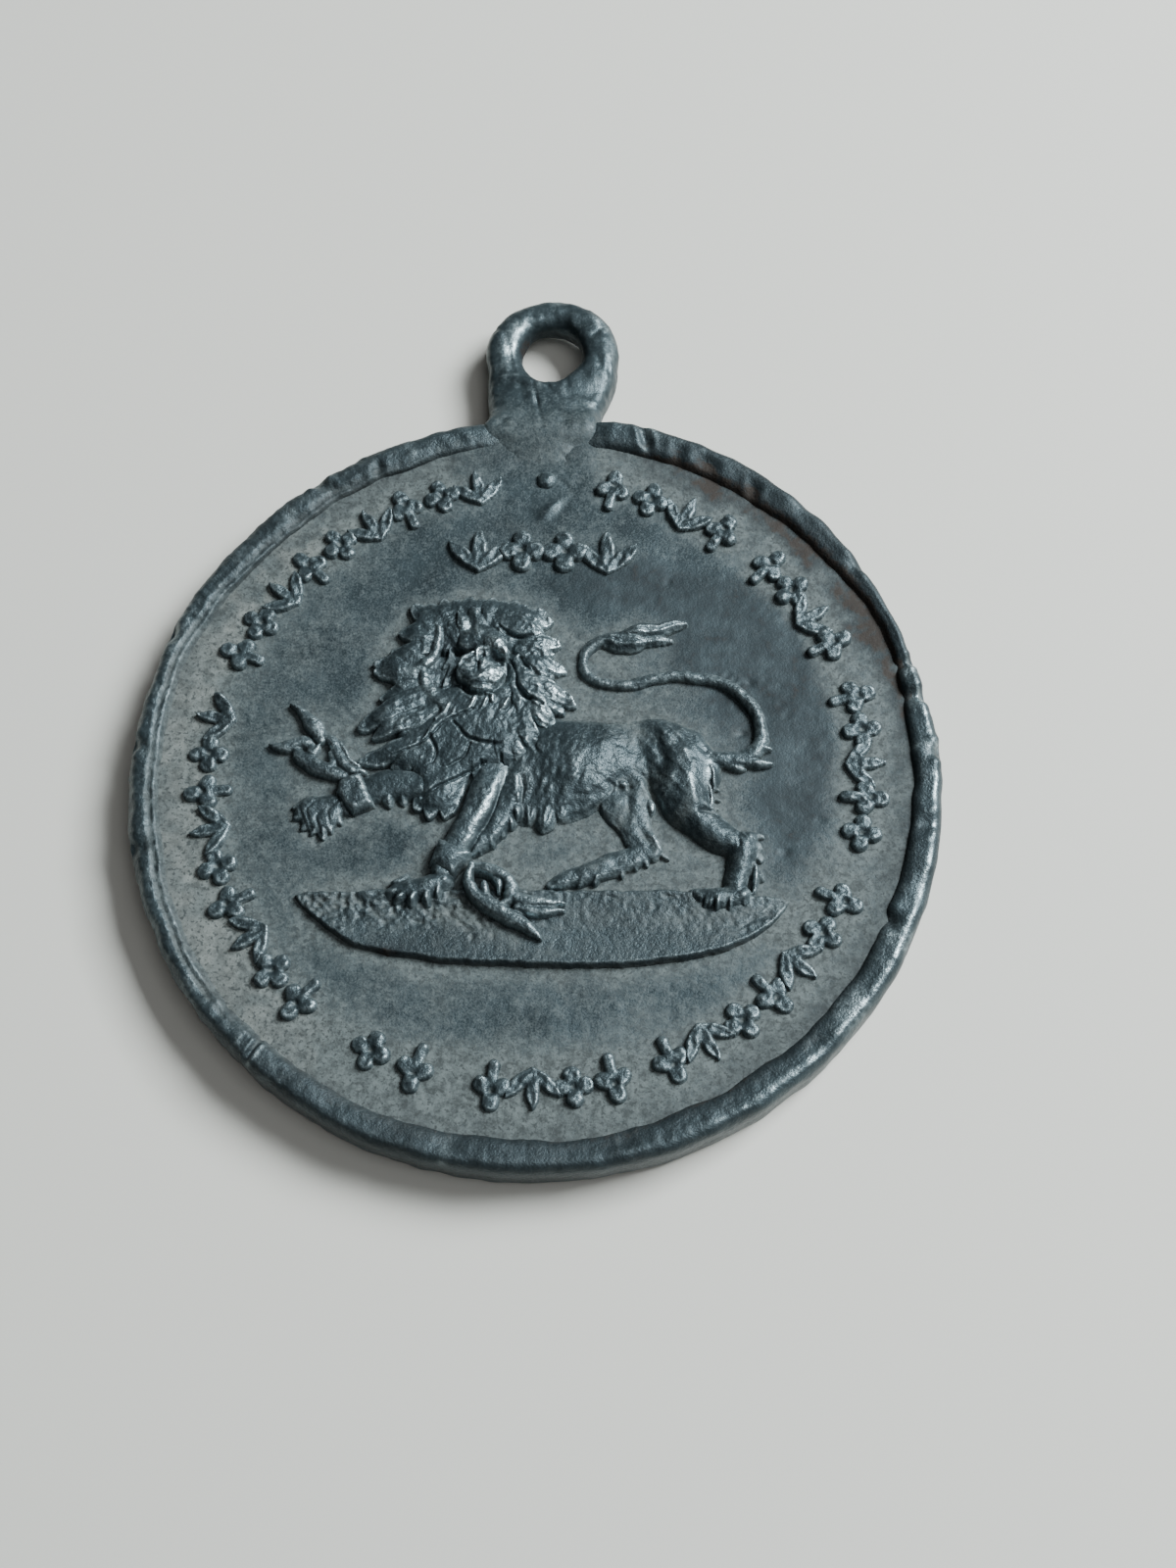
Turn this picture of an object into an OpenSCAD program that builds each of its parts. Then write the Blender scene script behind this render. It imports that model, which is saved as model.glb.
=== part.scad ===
// Commemorative medal: a cast disc with a rounded rim, a raised lion on a strip of ground, a ring of
// small border marks, and a suspension loop soldered to the top. It is one solid piece of metal.
// Origin: centre of the disc, on the plane that its back rim rests on.
// +Z comes out of the face, +Y points to the loop. All sizes are millimetres.

/* [Disc] */
// Outside diameter of the disc
medal_d = 33; // [32:0.5:35]
// Height of the top of the rim above the back
rim_h = 2.5; // [2.3:0.1:2.8]
// Width of the raised rim
rim_w = 1.4; // [1.2:0.1:1.6]
// Height of the field, the flat ground of the face, above the back
field_z = 2; // [1.8:0.1:2.1]
// Depth of the plain recess in the back
back_depth = 0.2; // [0.1:0.05:0.3]

/* [Suspension loop] */
// Diameter of the hole that a ribbon ring goes through
hole_d = 2.75; // [2.4:0.05:3]
// Thickness of the loop's round wire
wire_d = 1.6; // [1.4:0.1:1.8]
// Distance of the hole's axis from the middle of the disc
loop_y = 20.2; // [20:0.1:20.6]
// Height of the loop's middle above the back
loop_z = 1.25; // [1.15:0.05:1.35]
// Width of the neck where it meets the rim
neck_w = 4.3; // [3.8:0.1:4.8]

/* [Border marks] */
// Distance of the marks' middles from the middle of the disc
mark_r = 13.25; // [13:0.05:13.4]
// Size of one mark, from its foot to its tip
mark_size = 1.65; // [1.4:0.05:1.8]
// How far the marks stand above the field
mark_h = 0.26; // [0.15:0.01:0.35]
// Size of one mark of the short row above the lion
row_size = 2; // [1.6:0.1:2.2]
// Height of that row above the middle of the disc
row_y = 9.9; // [9.6:0.1:10]

/* [Lion] */
// Width of the whole relief, from the left end of the ground to its right end
relief_w = 20.85; // [19:0.05:21.5]

/* [Hidden] */
metal = [0.24, 0.27, 0.28];
medal_r = medal_d / 2;
// What is set on the field goes this far into it, so that it is one piece with the disc
root = 0.12;
// Roots of the relief's strips, before one level cut trims them all
deep = 3 * root;
// Radius of the rounding along the outer edge of the back, and the width of the recess's sloping wall
edge_r = 0.4;
recess_slope = 0.15;
arc_step = 15;
// Steps across the rounded back of a limb, and of a lock of hair
limb_steps = 6;
lock_steps = 4;
// Points round the outline of a clover or rosette
mark_points = 24;
// Part of the wire's thickness from the hole's wall to the wire's middle: under a half, which leaves the
// hole a short straight wall
wire_seat = 0.465;
// Thickness of the neck, as a part of the wire's, and how far it ends short of the hole's wall
neck_part = 0.9;
neck_gap = 0.15;

// Border groups, clockwise from the top: angle of the first mark, angle of the last, number of marks
border_groups = [
    [12, 34, 4],
    [45, 64, 4],
    [75, 101, 5],
    [114, 155, 7],
    [165, 185, 4],
    [198, 206, 2],
    [221, 278, 9],
    [291, 347, 9],
];
// The row above the lion: x of each mark
row_x = [-2.8, -1, 0.8, 2.6];
pellet_r = 0.38;

// Strips of the relief. Columns: x, y, half width, height above the field.
trunk = [
    [-2.4, 0.9, 1.9, 0.3],
    [-0.6, 0.1, 2.3, 0.5],
    [1, 0, 2.15, 0.58],
    [2.4, 0.4, 1.65, 0.56],
    [3.8, 0.75, 1.3, 0.5],
    [5.2, 0.65, 1.45, 0.54],
    [6.3, 0.1, 1.25, 0.5],
    [7.1, -0.5, 0.5, 0.35],
];
near_thigh = [
    [5.2, 1.1, 0.9, 0.5],
    [5.7, -0.1, 1.4, 0.64],
    [6, -1.3, 1.2, 0.66],
    [6.6, -2.2, 0.85, 0.62],
    [7.4, -2.85, 0.72, 0.56],
    [8.3, -3.3, 0.6, 0.5],
];
near_shank = [
    [8.4, -2.8, 0.7, 0.42],
    [8.35, -3.6, 0.75, 0.48],
    [8.1, -4.5, 0.55, 0.48],
    [7.85, -5.2, 0.48, 0.46],
    [7.7, -5.6, 0.4, 0.44],
];
near_paw = [
    [8.3, -5.3, 0.4, 0.42],
    [7.6, -5.5, 0.5, 0.52],
    [6.8, -5.6, 0.45, 0.5],
    [6.3, -5.6, 0.28, 0.4],
];
far_thigh = [
    [3.2, -0.4, 1.2, 0.3],
    [3.6, -1.5, 1.15, 0.34],
    [3.9, -2.4, 0.8, 0.34],
    [4.2, -3.2, 0.68, 0.34],
    [4.7, -3.8, 0.4, 0.3],
];
far_shank = [
    [4.9, -3.65, 0.3, 0.28],
    [4, -3.95, 0.5, 0.34],
    [3, -4.3, 0.5, 0.36],
    [2.2, -4.6, 0.5, 0.38],
    [1.5, -4.9, 0.45, 0.4],
    [0.9, -5.1, 0.3, 0.36],
];
foreleg = [
    [-1.5, 0.2, 0.8, 0.6],
    [-1.75, -0.8, 0.72, 0.68],
    [-2.2, -1.9, 0.68, 0.7],
    [-2.7, -3, 0.62, 0.66],
    [-3.1, -3.8, 0.6, 0.62],
    [-3.4, -4.5, 0.58, 0.58],
];
elbow = [
    [-0.8, -0.8, 0.5, 0.5],
    [-1, -1.9, 0.5, 0.5],
    [-1.5, -2.8, 0.42, 0.46],
    [-2.1, -3.6, 0.3, 0.42],
    [-2.4, -4, 0.1, 0.34],
];
fore_cuff = [
    [-2.95, -3.4, 0.72, 0.66],
    [-3.2, -4, 0.74, 0.74],
    [-3.42, -4.6, 0.72, 0.66],
];
fore_paw = [
    [-3.2, -4.75, 0.5, 0.5],
    [-3.9, -5.2, 0.74, 0.6],
    [-4.8, -5.6, 0.62, 0.58],
    [-5.6, -5.75, 0.26, 0.42],
];
raised_leg = [
    [-4.2, -0.9, 0.7, 0.46],
    [-5.2, -1, 0.72, 0.5],
    [-6.2, -1.05, 0.7, 0.48],
    [-6.9, -1.3, 0.6, 0.44],
];
raised_cuff = [
    [-6.5, -1.15, 0.78, 0.5],
    [-6.9, -1.35, 0.95, 0.56],
    [-7.5, -1.6, 0.85, 0.56],
    [-7.85, -1.7, 0.55, 0.46],
];
raised_paw = [
    [-7.8, -1.75, 0.45, 0.36],
    [-8.5, -2.1, 0.8, 0.46],
    [-9.1, -2.4, 0.65, 0.44],
    [-9.5, -2.55, 0.3, 0.34],
];
mane = [
    [-2.4, 7.2, 1.5, 0.26],
    [-2.5, 6.2, 2.5, 0.34],
    [-2.6, 4.8, 2.9, 0.38],
    [-2.5, 3.2, 3, 0.4],
    [-2.4, 1.8, 3.2, 0.42],
    [-2.7, 0.4, 2.9, 0.42],
    [-3.5, -0.8, 1.6, 0.38],
    [-3.9, -1.8, 0.8, 0.3],
];
face = [
    [-2.55, 6.1, 0.9, 0.54],
    [-2.6, 5.4, 1.25, 0.6],
    [-2.65, 4.6, 1.3, 0.6],
    [-2.65, 3.9, 1.15, 0.6],
    [-2.65, 3.2, 0.95, 0.58],
    [-2.6, 2.7, 0.6, 0.5],
];
brow = [
    [-3.75, 4.75, 0.16, 0.5],
    [-3.35, 5.15, 0.26, 0.68],
    [-2.6, 5.35, 0.34, 0.7],
    [-1.9, 5.25, 0.26, 0.7],
    [-1.5, 4.9, 0.16, 0.5],
];
nose = [
    [-2.57, 5.6, 0.4, 0.64],
    [-2.6, 5, 0.38, 0.72],
    [-2.62, 4.55, 0.42, 0.8],
    [-2.64, 4.2, 0.56, 0.88],
    [-2.65, 3.98, 0.5, 0.88],
    [-2.65, 3.82, 0.2, 0.8],
];
muzzle = [
    [-3.5, 3.75, 0.3, 0.58],
    [-3.1, 3.65, 0.56, 0.78],
    [-2.65, 3.66, 0.42, 0.72],
    [-2.2, 3.65, 0.56, 0.78],
    [-1.8, 3.75, 0.3, 0.58],
];
chin = [
    [-2.64, 3.2, 0.42, 0.66],
    [-2.62, 2.9, 0.4, 0.66],
    [-2.6, 2.5, 0.12, 0.56],
];
tail = [
    [7, 0.45, 0.5, 0.35],
    [8.1, 0.45, 0.42, 0.42],
    [8.85, 0.85, 0.4, 0.42],
    [9.1, 1.6, 0.34, 0.42],
    [8.85, 2.6, 0.3, 0.4],
    [8.2, 3.4, 0.28, 0.38],
    [7.2, 3.95, 0.27, 0.36],
    [6, 4.15, 0.26, 0.34],
    [4.8, 4, 0.25, 0.32],
    [3.6, 3.75, 0.25, 0.32],
    [2.5, 3.8, 0.25, 0.32],
    [1.8, 4.25, 0.25, 0.32],
    [1.75, 5, 0.25, 0.34],
    [2.3, 5.6, 0.28, 0.36],
    [3, 5.7, 0.4, 0.38],
];
tail_tuft = [
    [2.6, 5.65, 0.3, 0.36],
    [3.3, 5.6, 0.55, 0.44],
    [4.1, 5.9, 0.5, 0.42],
    [5, 6.3, 0.35, 0.36],
    [5.85, 6.6, 0.08, 0.25],
];
blade = [
    [-8.75, 0.8, 0.3, 0.38],
    [-9.1, 1.4, 0.36, 0.4],
    [-9.6, 2, 0.22, 0.34],
    [-10.05, 2.45, 0.06, 0.24],
];
left_tine = [
    [-9.2, 0.3, 0.3, 0.38],
    [-9.9, 0.52, 0.28, 0.34],
    [-10.75, 0.62, 0.06, 0.24],
];
lower_strand = [
    [-9.9, 0.45, 0.16, 0.3],
    [-9.35, 0, 0.24, 0.38],
    [-8.6, -0.4, 0.28, 0.4],
    [-7.8, -0.75, 0.22, 0.38],
];
right_strand = [
    [-8.3, 0.8, 0.25, 0.36],
    [-7.9, 0.4, 0.28, 0.38],
    [-7.6, -0.1, 0.25, 0.36],
    [-7.05, -0.5, 0.18, 0.3],
];
link_tongue = [
    [-1.2, -6.2, 0.3, 0.6],
    [-0.5, -6.5, 0.4, 0.64],
    [0.2, -6.9, 0.34, 0.6],
    [0.7, -7.25, 0.1, 0.5],
];
link_stub = [
    [-0.9, -5.4, 0.28, 0.5],
    [0.1, -5.95, 0.32, 0.56],
    [1.3, -6.2, 0.14, 0.48],
];

// Locks of hair, toes and claws.
// Columns: x and y of the root, x and y of the tip, sideways bow, half width, height.
locks = [
    [-2.6, 6.4, -2.2, 7.7, 0.1, 0.42, 0.56],
    [-3.2, 6.3, -3.6, 7.4, 0.1, 0.4, 0.56],
    [-3.7, 6, -5.2, 7.15, 0.12, 0.42, 0.58],
    [-4.1, 5.6, -5.45, 6.45, 0.1, 0.36, 0.58],
    [-4.3, 5.1, -5.85, 5.75, 0.12, 0.36, 0.6],
    [-4.4, 4.6, -6.05, 4.8, 0.15, 0.36, 0.6],
    [-4.4, 4.2, -6.7, 4.1, 0.3, 0.42, 0.62],
    [-4.6, 3.6, -6.15, 3.25, 0.15, 0.36, 0.6],
    [-4.1, 3, -7.1, 1.45, -0.25, 0.52, 0.66],
    [-4.3, 2.2, -6.6, 1.05, -0.15, 0.42, 0.62],
    [-4.1, 1.4, -6.9, 0.05, -0.15, 0.42, 0.6],
    [-3.9, 0.8, -5.3, -0.4, 0, 0.42, 0.62],
    [-3.8, 0.3, -4.85, -0.95, 0, 0.42, 0.62],
    [-3.8, -0.3, -4.75, -1.9, 0.1, 0.4, 0.6],
    [-3.5, -0.4, -4.2, -2.35, 0, 0.38, 0.6],
    [-3.1, -0.3, -3.4, -2.35, 0, 0.36, 0.58],
    [-2.7, 0.1, -2.85, -1.6, 0, 0.36, 0.6],
    [-1.8, 6.4, -1.2, 7.35, -0.1, 0.38, 0.56],
    [-1.3, 6.3, -0.4, 7.1, -0.1, 0.36, 0.56],
    [-1, 6, 0.15, 6.85, -0.1, 0.36, 0.58],
    [-0.9, 5.6, 0.55, 6.1, -0.1, 0.36, 0.58],
    [-0.8, 5.1, 0.62, 5.25, -0.1, 0.38, 0.6],
    [-0.8, 4.5, 0.7, 4.4, -0.1, 0.38, 0.6],
    [-0.8, 3.9, 0.95, 3.5, -0.1, 0.4, 0.62],
    [-0.7, 3.3, 1.35, 2.6, -0.2, 0.42, 0.64],
    [-0.66, 2.75, 1.1, 1.75, -0.15, 0.4, 0.66],
    [-0.6, 2.1, 0.85, 0.95, -0.15, 0.4, 0.68],
    [-0.8, 1.6, 0.4, 0.2, -0.15, 0.38, 0.7],
    [-1.1, 1.5, -0.3, -0.6, -0.1, 0.38, 0.72],
    [-1.6, 1.7, -1.1, -0.3, 0, 0.38, 0.72],
    [-2.1, 1.9, -1.9, -0.2, 0, 0.38, 0.72],
    [-2.6, 2.2, -2.7, 0.2, 0, 0.38, 0.7],
    [-3.2, 2.3, -3.7, 0.7, 0, 0.38, 0.68],
    [-3.6, 1, -4.1, -0.4, 0, 0.36, 0.6],
    [-3, 0.9, -3.3, -0.6, 0, 0.36, 0.62],
    [-2.4, 0.8, -2.5, -0.7, 0, 0.36, 0.64],
    [-2.6, 5.7, -2.4, 6.9, 0, 0.34, 0.66],
    [-3.15, 5.7, -3.6, 6.75, 0, 0.32, 0.64],
    [-2.05, 5.7, -1.6, 6.7, 0, 0.32, 0.64],
    [-3.85, 4.9, -4.5, 5.3, 0.1, 0.3, 0.62],
    [-4, 4.1, -4.9, 4, 0.1, 0.32, 0.64],
    [-3.9, 3.3, -4.8, 2.8, 0, 0.34, 0.64],
    [-1.4, 4.9, -0.6, 5.3, -0.1, 0.3, 0.62],
    [-1.3, 4.1, -0.3, 4, -0.1, 0.32, 0.64],
    [-1.4, 3.3, -0.4, 2.7, 0, 0.34, 0.66],
    [-3.5, 5.7, -3.95, 6.25, 0, 0.25, 0.66],
    [-1.7, 5.8, -1.2, 6.3, 0, 0.25, 0.66],
    [-6.1, -1.4, -5.75, -2, 0, 0.2, 0.36],
    [-5.6, -1.4, -5.1, -1.95, 0, 0.2, 0.36],
    [-9.2, -2.6, -9, -3.3, 0, 0.18, 0.36],
    [-8.75, -2.5, -8.65, -3.05, 0, 0.18, 0.36],
    [-8.4, -2.6, -8.15, -3.45, 0, 0.2, 0.36],
    [-7.95, -2.1, -7.7, -2.8, 0, 0.2, 0.36],
    [-4.9, -5.3, -5.8, -5.75, 0.08, 0.24, 0.6],
    [-4.5, -5.5, -5.2, -6.15, 0.08, 0.24, 0.6],
    [-3.8, -5.6, -4.2, -6.3, 0.08, 0.24, 0.6],
    [6.9, -5.4, 6.5, -5.95, 0, 0.2, 0.54],
    [7.4, -5.4, 7.1, -6.05, 0, 0.2, 0.54],
    [8, -5.4, 7.8, -6.05, 0, 0.2, 0.52],
    [8.7, -3, 9.3, -2.95, 0, 0.22, 0.38],
    [8.7, -3.5, 9.3, -4, 0, 0.22, 0.38],
    [8.4, -4.1, 9.2, -4.8, 0, 0.22, 0.38],
    [8.5, 0.7, 9.5, 0.35, 0.1, 0.3, 0.4],
    [3.9, 5.6, 5.2, 5.85, -0.1, 0.22, 0.36],
    [3.4, 5.3, 4.3, 5.3, -0.1, 0.2, 0.34],
];

// Rings of the broken shackles.
// Columns: x and y of the middle, radius, first and last angle, half width, height.
shackles = [
    [-8.55, 0.2, 0.62, 60, 400, 0.26, 0.36],
    [-1.6, -5.6, 0.82, 30, 300, 0.28, 0.6],
];
shackle_steps = 12;

// The strip of ground. Columns: x, y of the upper edge, y of the lower edge, height along each.
ground_rows = [
    [-9.2, -5.75, -5.95, 0.12, 0.14],
    [-8.5, -5.55, -6.6, 0.2, 0.3],
    [-7.5, -5.5, -7.35, 0.25, 0.38],
    [-6.3, -5.45, -7.9, 0.28, 0.44],
    [-4, -5.35, -8.25, 0.3, 0.48],
    [-2, -5.3, -8.4, 0.3, 0.5],
    [1, -5.25, -8.45, 0.3, 0.5],
    [3.5, -5.2, -8.35, 0.28, 0.5],
    [5.6, -5.15, -8.1, 0.28, 0.48],
    [7.6, -5.2, -7.55, 0.26, 0.42],
    [9, -5.3, -6.85, 0.2, 0.3],
    [10.1, -5.4, -5.55, 0.1, 0.12],
];
ground_slope = 0.2;

// The solder that runs from the loop's neck over the rim on to the field. Columns as the strips above.
solder = [
    [0, 17.4, 1.9, 0.1],
    [-0.05, 16.4, 2.1, 0.34],
    [-0.1, 15.6, 2.2, 0.44],
    [-0.1, 14.9, 2, 0.3],
    [-0.1, 14.1, 1.7, 0.12],
    [-0.1, 13.4, 1.2, 0.05],
];

// Points of an arc in the plane, about a centre, with its two radii
function arc(c, rx, ry, from, to, step) =
    [for (a = [from:step:to]) [c.x + rx * cos(a), c.y + ry * sin(a)]];

// Half of the disc's section, with radius as x and height as y, from the axis round by the back
function disc_section() = concat(
    [
        [0, back_depth],
        [medal_r - rim_w - recess_slope, back_depth],
        [medal_r - rim_w, 0],
    ],
    arc([medal_r - edge_r, edge_r], edge_r, edge_r, -90, 0, arc_step),
    arc([medal_r - rim_w / 2, field_z], rim_w / 2, rim_h - field_z, 0, 180, arc_step),
    [[0, field_z]]
);

// Outline with round lobes, like a clover leaf
function lobed(lobes, outer, inner, turn) =
    [for (i = [0:mark_points - 1])
        let (a = 360 * i / mark_points,
             r = (outer + inner) / 2 + (outer - inner) / 2 * cos(lobes * (a - turn)))
        [r * cos(a), r * sin(a)]];

// Outline of a pointed leaf, with its foot at the origin and its tip up
function leaf(w, h, steps) = concat(
    [for (i = [0:steps]) [w / 2 * sin(180 * i / steps), h * i / steps]],
    [for (i = [1:steps - 1]) [-w / 2 * sin(180 * i / steps), h * (1 - i / steps)]]
);

// Unit direction of a strip at row i, taken over its neighbours
function heading(rows, i) =
    let (a = rows[max(i - 1, 0)], b = rows[min(i + 1, len(rows) - 1)], d = [b.x - a.x, b.y - a.y])
    d / norm(d);

// One ring of a strip: a rounded back over a flat root that is sunk in the field
function strip_ring(rows, i, steps) =
    let (r = rows[i], d = heading(rows, i), side = [d.y, -d.x], w = r[2], h = r[3])
    concat(
        [for (j = [0:steps])
            let (a = 180 * j / steps, u = -w * cos(a))
            [r.x + side.x * u, r.y + side.y * u, h * sin(a)]],
        [[r.x + side.x * w, r.y + side.y * w, -deep], [r.x - side.x * w, r.y - side.y * w, -deep]]
    );

// One ring of the ground, across it
function ground_ring(r) = [
    [r[0], r[1], 0],
    [r[0], r[1] - ground_slope * 0.5, r[3]],
    [r[0], (r[1] + r[2]) / 2, (r[3] + r[4]) / 2],
    [r[0], r[2] + ground_slope * 0.6, r[4]],
    [r[0], r[2], 0],
    [r[0], r[2], -deep],
    [r[0], r[1], -deep],
];

// Rows of a lock, from its root to its tip, bowed sideways in the middle
function lock_rows(l) =
    let (a = [l[0], l[1]], b = [l[2], l[3]], d = b - a, side = [-d.y, d.x] / norm(d))
    [for (s = [[0, 0.7, 0.8], [0.4, 1, 1], [0.75, 0.7, 0.9], [1, 0.1, 0.5]])
        let (p = a + d * s[0] + side * l[4] * sin(180 * s[0]))
        [p.x, p.y, l[5] * s[1], l[6] * s[2]]];

// Rows of a shackle ring
function ring_rows(s) =
    [for (i = [0:shackle_steps])
        let (a = s[3] + (s[4] - s[3]) * i / shackle_steps)
        [s[0] + s[2] * cos(a), s[1] + s[2] * sin(a), s[5], s[6]]];

// A closed skin over rings of points, with a flat cap at each end
module skin(rings) {
    k = len(rings[0]);
    n = len(rings);
    sides = [for (i = [0:n - 2], j = [0:k - 1])
        let (a = i * k + j, b = i * k + (j + 1) % k)
        each [[a, a + k, b], [b, a + k, b + k]]];
    caps = [[for (j = [0:k - 1]) j], [for (j = [k - 1:-1:0]) (n - 1) * k + j]];
    polyhedron([for (r = rings) each r], concat(sides, caps));
}

module strip(rows, steps) {
    skin([for (i = [0:len(rows) - 1]) strip_ring(rows, i, steps)]);
}

module disc() {
    color(metal) rotate_extrude($fn = 120) polygon(disc_section());
}

module ring_and_neck() {
    ring_r = hole_d / 2 + wire_d * wire_seat;
    neck_top = loop_y - hole_d / 2 - neck_gap;
    translate([0, loop_y, loop_z]) rotate_extrude($fn = 64) translate([ring_r, 0]) circle(d = wire_d, $fn = 32);
    translate([0, 0, loop_z - wire_d * neck_part / 2])
        linear_extrude(wire_d * neck_part)
            polygon([
                [-neck_w / 2, medal_r - rim_w],
                [neck_w / 2, medal_r - rim_w],
                [neck_w / 2 - 0.1, medal_r + 0.6],
                [neck_w / 2 + 0.1, neck_top],
                [-neck_w / 2 - 0.1, neck_top],
                [-neck_w / 2, medal_r + 0.6],
            ]);
}

module suspension_loop() {
    color(metal) difference() {
        ring_and_neck();
        translate([0, loop_y, -1]) cylinder(d = hole_d, h = rim_h + 2, $fn = 64);
    }
}

// The three kinds of mark, each standing on its foot: a clover, a rosette and a spray of three leaves
module mark(kind, size) {
    if (kind == 0) {
        translate([0, size * 0.08]) polygon(lobed(3, size * 0.52, size * 0.2, 90));
        translate([-size * 0.11, -size * 0.5]) square([size * 0.22, size * 0.5]);
    }
    if (kind == 1)
        polygon(lobed(4, size * 0.48, size * 0.24, 0));
    if (kind == 2)
        for (turn = [-42, 0, 42])
            translate([0, -size * 0.45]) rotate(turn) polygon(leaf(size * 0.3, size * 0.95, 6));
}

module raised_mark(kind, size) {
    translate([0, 0, field_z - root]) linear_extrude(root + mark_h) mark(kind, size);
}

module border_marks() {
    color(metal) for (g = border_groups)
        for (i = [0:g[2] - 1])
            rotate(-g[0] - (g[1] - g[0]) * i / (g[2] - 1))
                translate([0, mark_r]) raised_mark(i % 3, mark_size);
}

module mark_row() {
    color(metal) for (i = [0:len(row_x) - 1])
        translate([row_x[i], row_y]) raised_mark(i == 0 || i == 3 ? 2 : 1, row_size);
    color(metal) translate([0, mark_r, field_z - root]) cylinder(r = pellet_r, h = root + mark_h, $fn = 24);
}

module lion() {
    for (rows = [trunk, near_thigh, near_shank, near_paw, far_thigh, far_shank, foreleg, elbow, fore_paw,
                 raised_leg, raised_paw, mane, face, brow, nose, muzzle, chin, tail,
                 tail_tuft])
        strip(rows, limb_steps);
    for (l = locks)
        strip(lock_rows(l), lock_steps);
}

module ground() {
    skin([for (r = ground_rows) ground_ring(r)]);
}

module broken_shackles() {
    for (s = shackles)
        strip(ring_rows(s), lock_steps);
    for (rows = [fore_cuff, raised_cuff, blade, left_tine, lower_strand, right_strand,
                 link_tongue, link_stub])
        strip(rows, lock_steps);
}

module relief() {
    color(metal) translate([0, 0, field_z]) resize([relief_w, 0, 0], auto = [true, true, false]) intersection() {
        translate([-medal_r, -medal_r, -root]) cube([medal_d, medal_d, rim_h]);
        union() {
            ground();
            lion();
            broken_shackles();
        }
    }
}

module solder_foot() {
    color(metal) translate([0, 0, field_z]) strip(solder, limb_steps);
}

module medal() {
    disc();
    suspension_loop();
    border_marks();
    mark_row();
    relief();
    solder_foot();
}

medal();
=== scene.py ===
import math

import bpy
import numpy as np
from mathutils import Matrix, Vector


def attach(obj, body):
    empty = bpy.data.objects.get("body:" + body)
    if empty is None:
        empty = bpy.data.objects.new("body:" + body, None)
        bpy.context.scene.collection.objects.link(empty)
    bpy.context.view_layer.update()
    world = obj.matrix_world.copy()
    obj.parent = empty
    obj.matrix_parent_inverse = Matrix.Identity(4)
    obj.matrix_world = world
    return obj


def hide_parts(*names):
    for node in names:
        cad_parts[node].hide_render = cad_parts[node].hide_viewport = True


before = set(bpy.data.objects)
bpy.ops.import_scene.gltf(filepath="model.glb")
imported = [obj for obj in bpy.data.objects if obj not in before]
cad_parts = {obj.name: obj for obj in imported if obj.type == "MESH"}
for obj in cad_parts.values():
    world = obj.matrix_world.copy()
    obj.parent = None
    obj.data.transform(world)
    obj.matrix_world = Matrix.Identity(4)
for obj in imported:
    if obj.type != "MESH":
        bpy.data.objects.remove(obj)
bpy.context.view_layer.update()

# Sizes are millimetres in the frame's own axes, and turn into metres where a mesh is made.
MM = 0.001
# Height of the field, and of the plain back in its recess
FIELD = 2.0
BACK = 0.2
# Heights above the field: of a sheet with nothing on it, and of the lowest point that a piece keeps
EMPTY = -2.0
LOWEST = -0.3
# How far the relief's pieces reach down into the disc
SLAB_DEPTH = 0.4
# A distance beyond all others
FAR = 1e9

# The camera, from the photograph's vanishing lines and the disc's outline: lengths in millimetres,
# angles in degrees
LENS = 45.9
SENSOR = 36.0
AZIMUTH = 3.08
ELEVATION = 66.97
DISTANCE = 82.45
TARGET = (2.061, 0.17, 0.0)
ROLL = -1.505

# Forms are lists of places along a strip: x, y, half width, height above the field.
BODY_FORMS = [
    [(-2.2, 1, 1.7, 0.35), (-0.8, 0.1, 2.3, 0.5), (0.4, -0.2, 2.45, 0.62), (1.5, 0.05, 2.1, 0.68),
     (2.6, 0.45, 1.62, 0.6), (3.8, 0.7, 1.38, 0.48), (5, 0.85, 1.42, 0.54), (6.1, 0.3, 1.3, 0.55),
     (6.9, -0.35, 0.55, 0.42)],
    [(5.3, 1, 0.8, 0.5), (5.7, 0, 1.3, 0.68), (6, -1.2, 1.15, 0.76), (6.55, -2.15, 0.85, 0.72),
     (7.35, -2.85, 0.72, 0.66), (8.2, -3.25, 0.58, 0.58)],
    [(8.5, -2.95, 0.42, 0.46), (8.3, -3.6, 0.62, 0.6), (8.1, -4.4, 0.52, 0.6),
     (8, -5.1, 0.46, 0.56), (7.8, -5.6, 0.4, 0.5)],
]
FAR_LEG = [
    [(3.3, -0.5, 1.1, 0.26), (3.6, -1.5, 1.1, 0.3), (3.95, -2.4, 0.78, 0.32), (4.3, -3.1, 0.6, 0.32),
     (4.8, -3.75, 0.3, 0.3)],
    [(4.9, -3.62, 0.26, 0.3), (4.2, -3.78, 0.44, 0.36), (3.4, -4.08, 0.52, 0.4),
     (2.6, -4.42, 0.48, 0.4), (1.9, -4.7, 0.42, 0.42), (1.2, -4.95, 0.36, 0.44),
     (0.8, -5.12, 0.2, 0.38)],
]
FORELEG = [
    [(-1.3, 0.7, 0.45, 0.3), (-1.6, -0.1, 0.62, 0.6), (-2.2, -1.9, 0.72, 0.86),
     (-2.7, -3, 0.66, 0.82), (-3.1, -3.8, 0.6, 0.76), (-3.45, -4.6, 0.56, 0.68)],
    [(-0.9, -0.7, 0.4, 0.6), (-1.05, -1.7, 0.46, 0.6), (-1.45, -2.7, 0.44, 0.56),
     (-2, -3.5, 0.32, 0.5), (-2.35, -3.95, 0.12, 0.42)],
]
FORE_PAW = [
    (-3.5, -5.1, 0.52, 0.62), (-4.1, -5.4, 0.6, 0.7), (-4.75, -5.48, 0.5, 0.66), (-5.3, -5.5, 0.34, 0.58),
]
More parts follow.
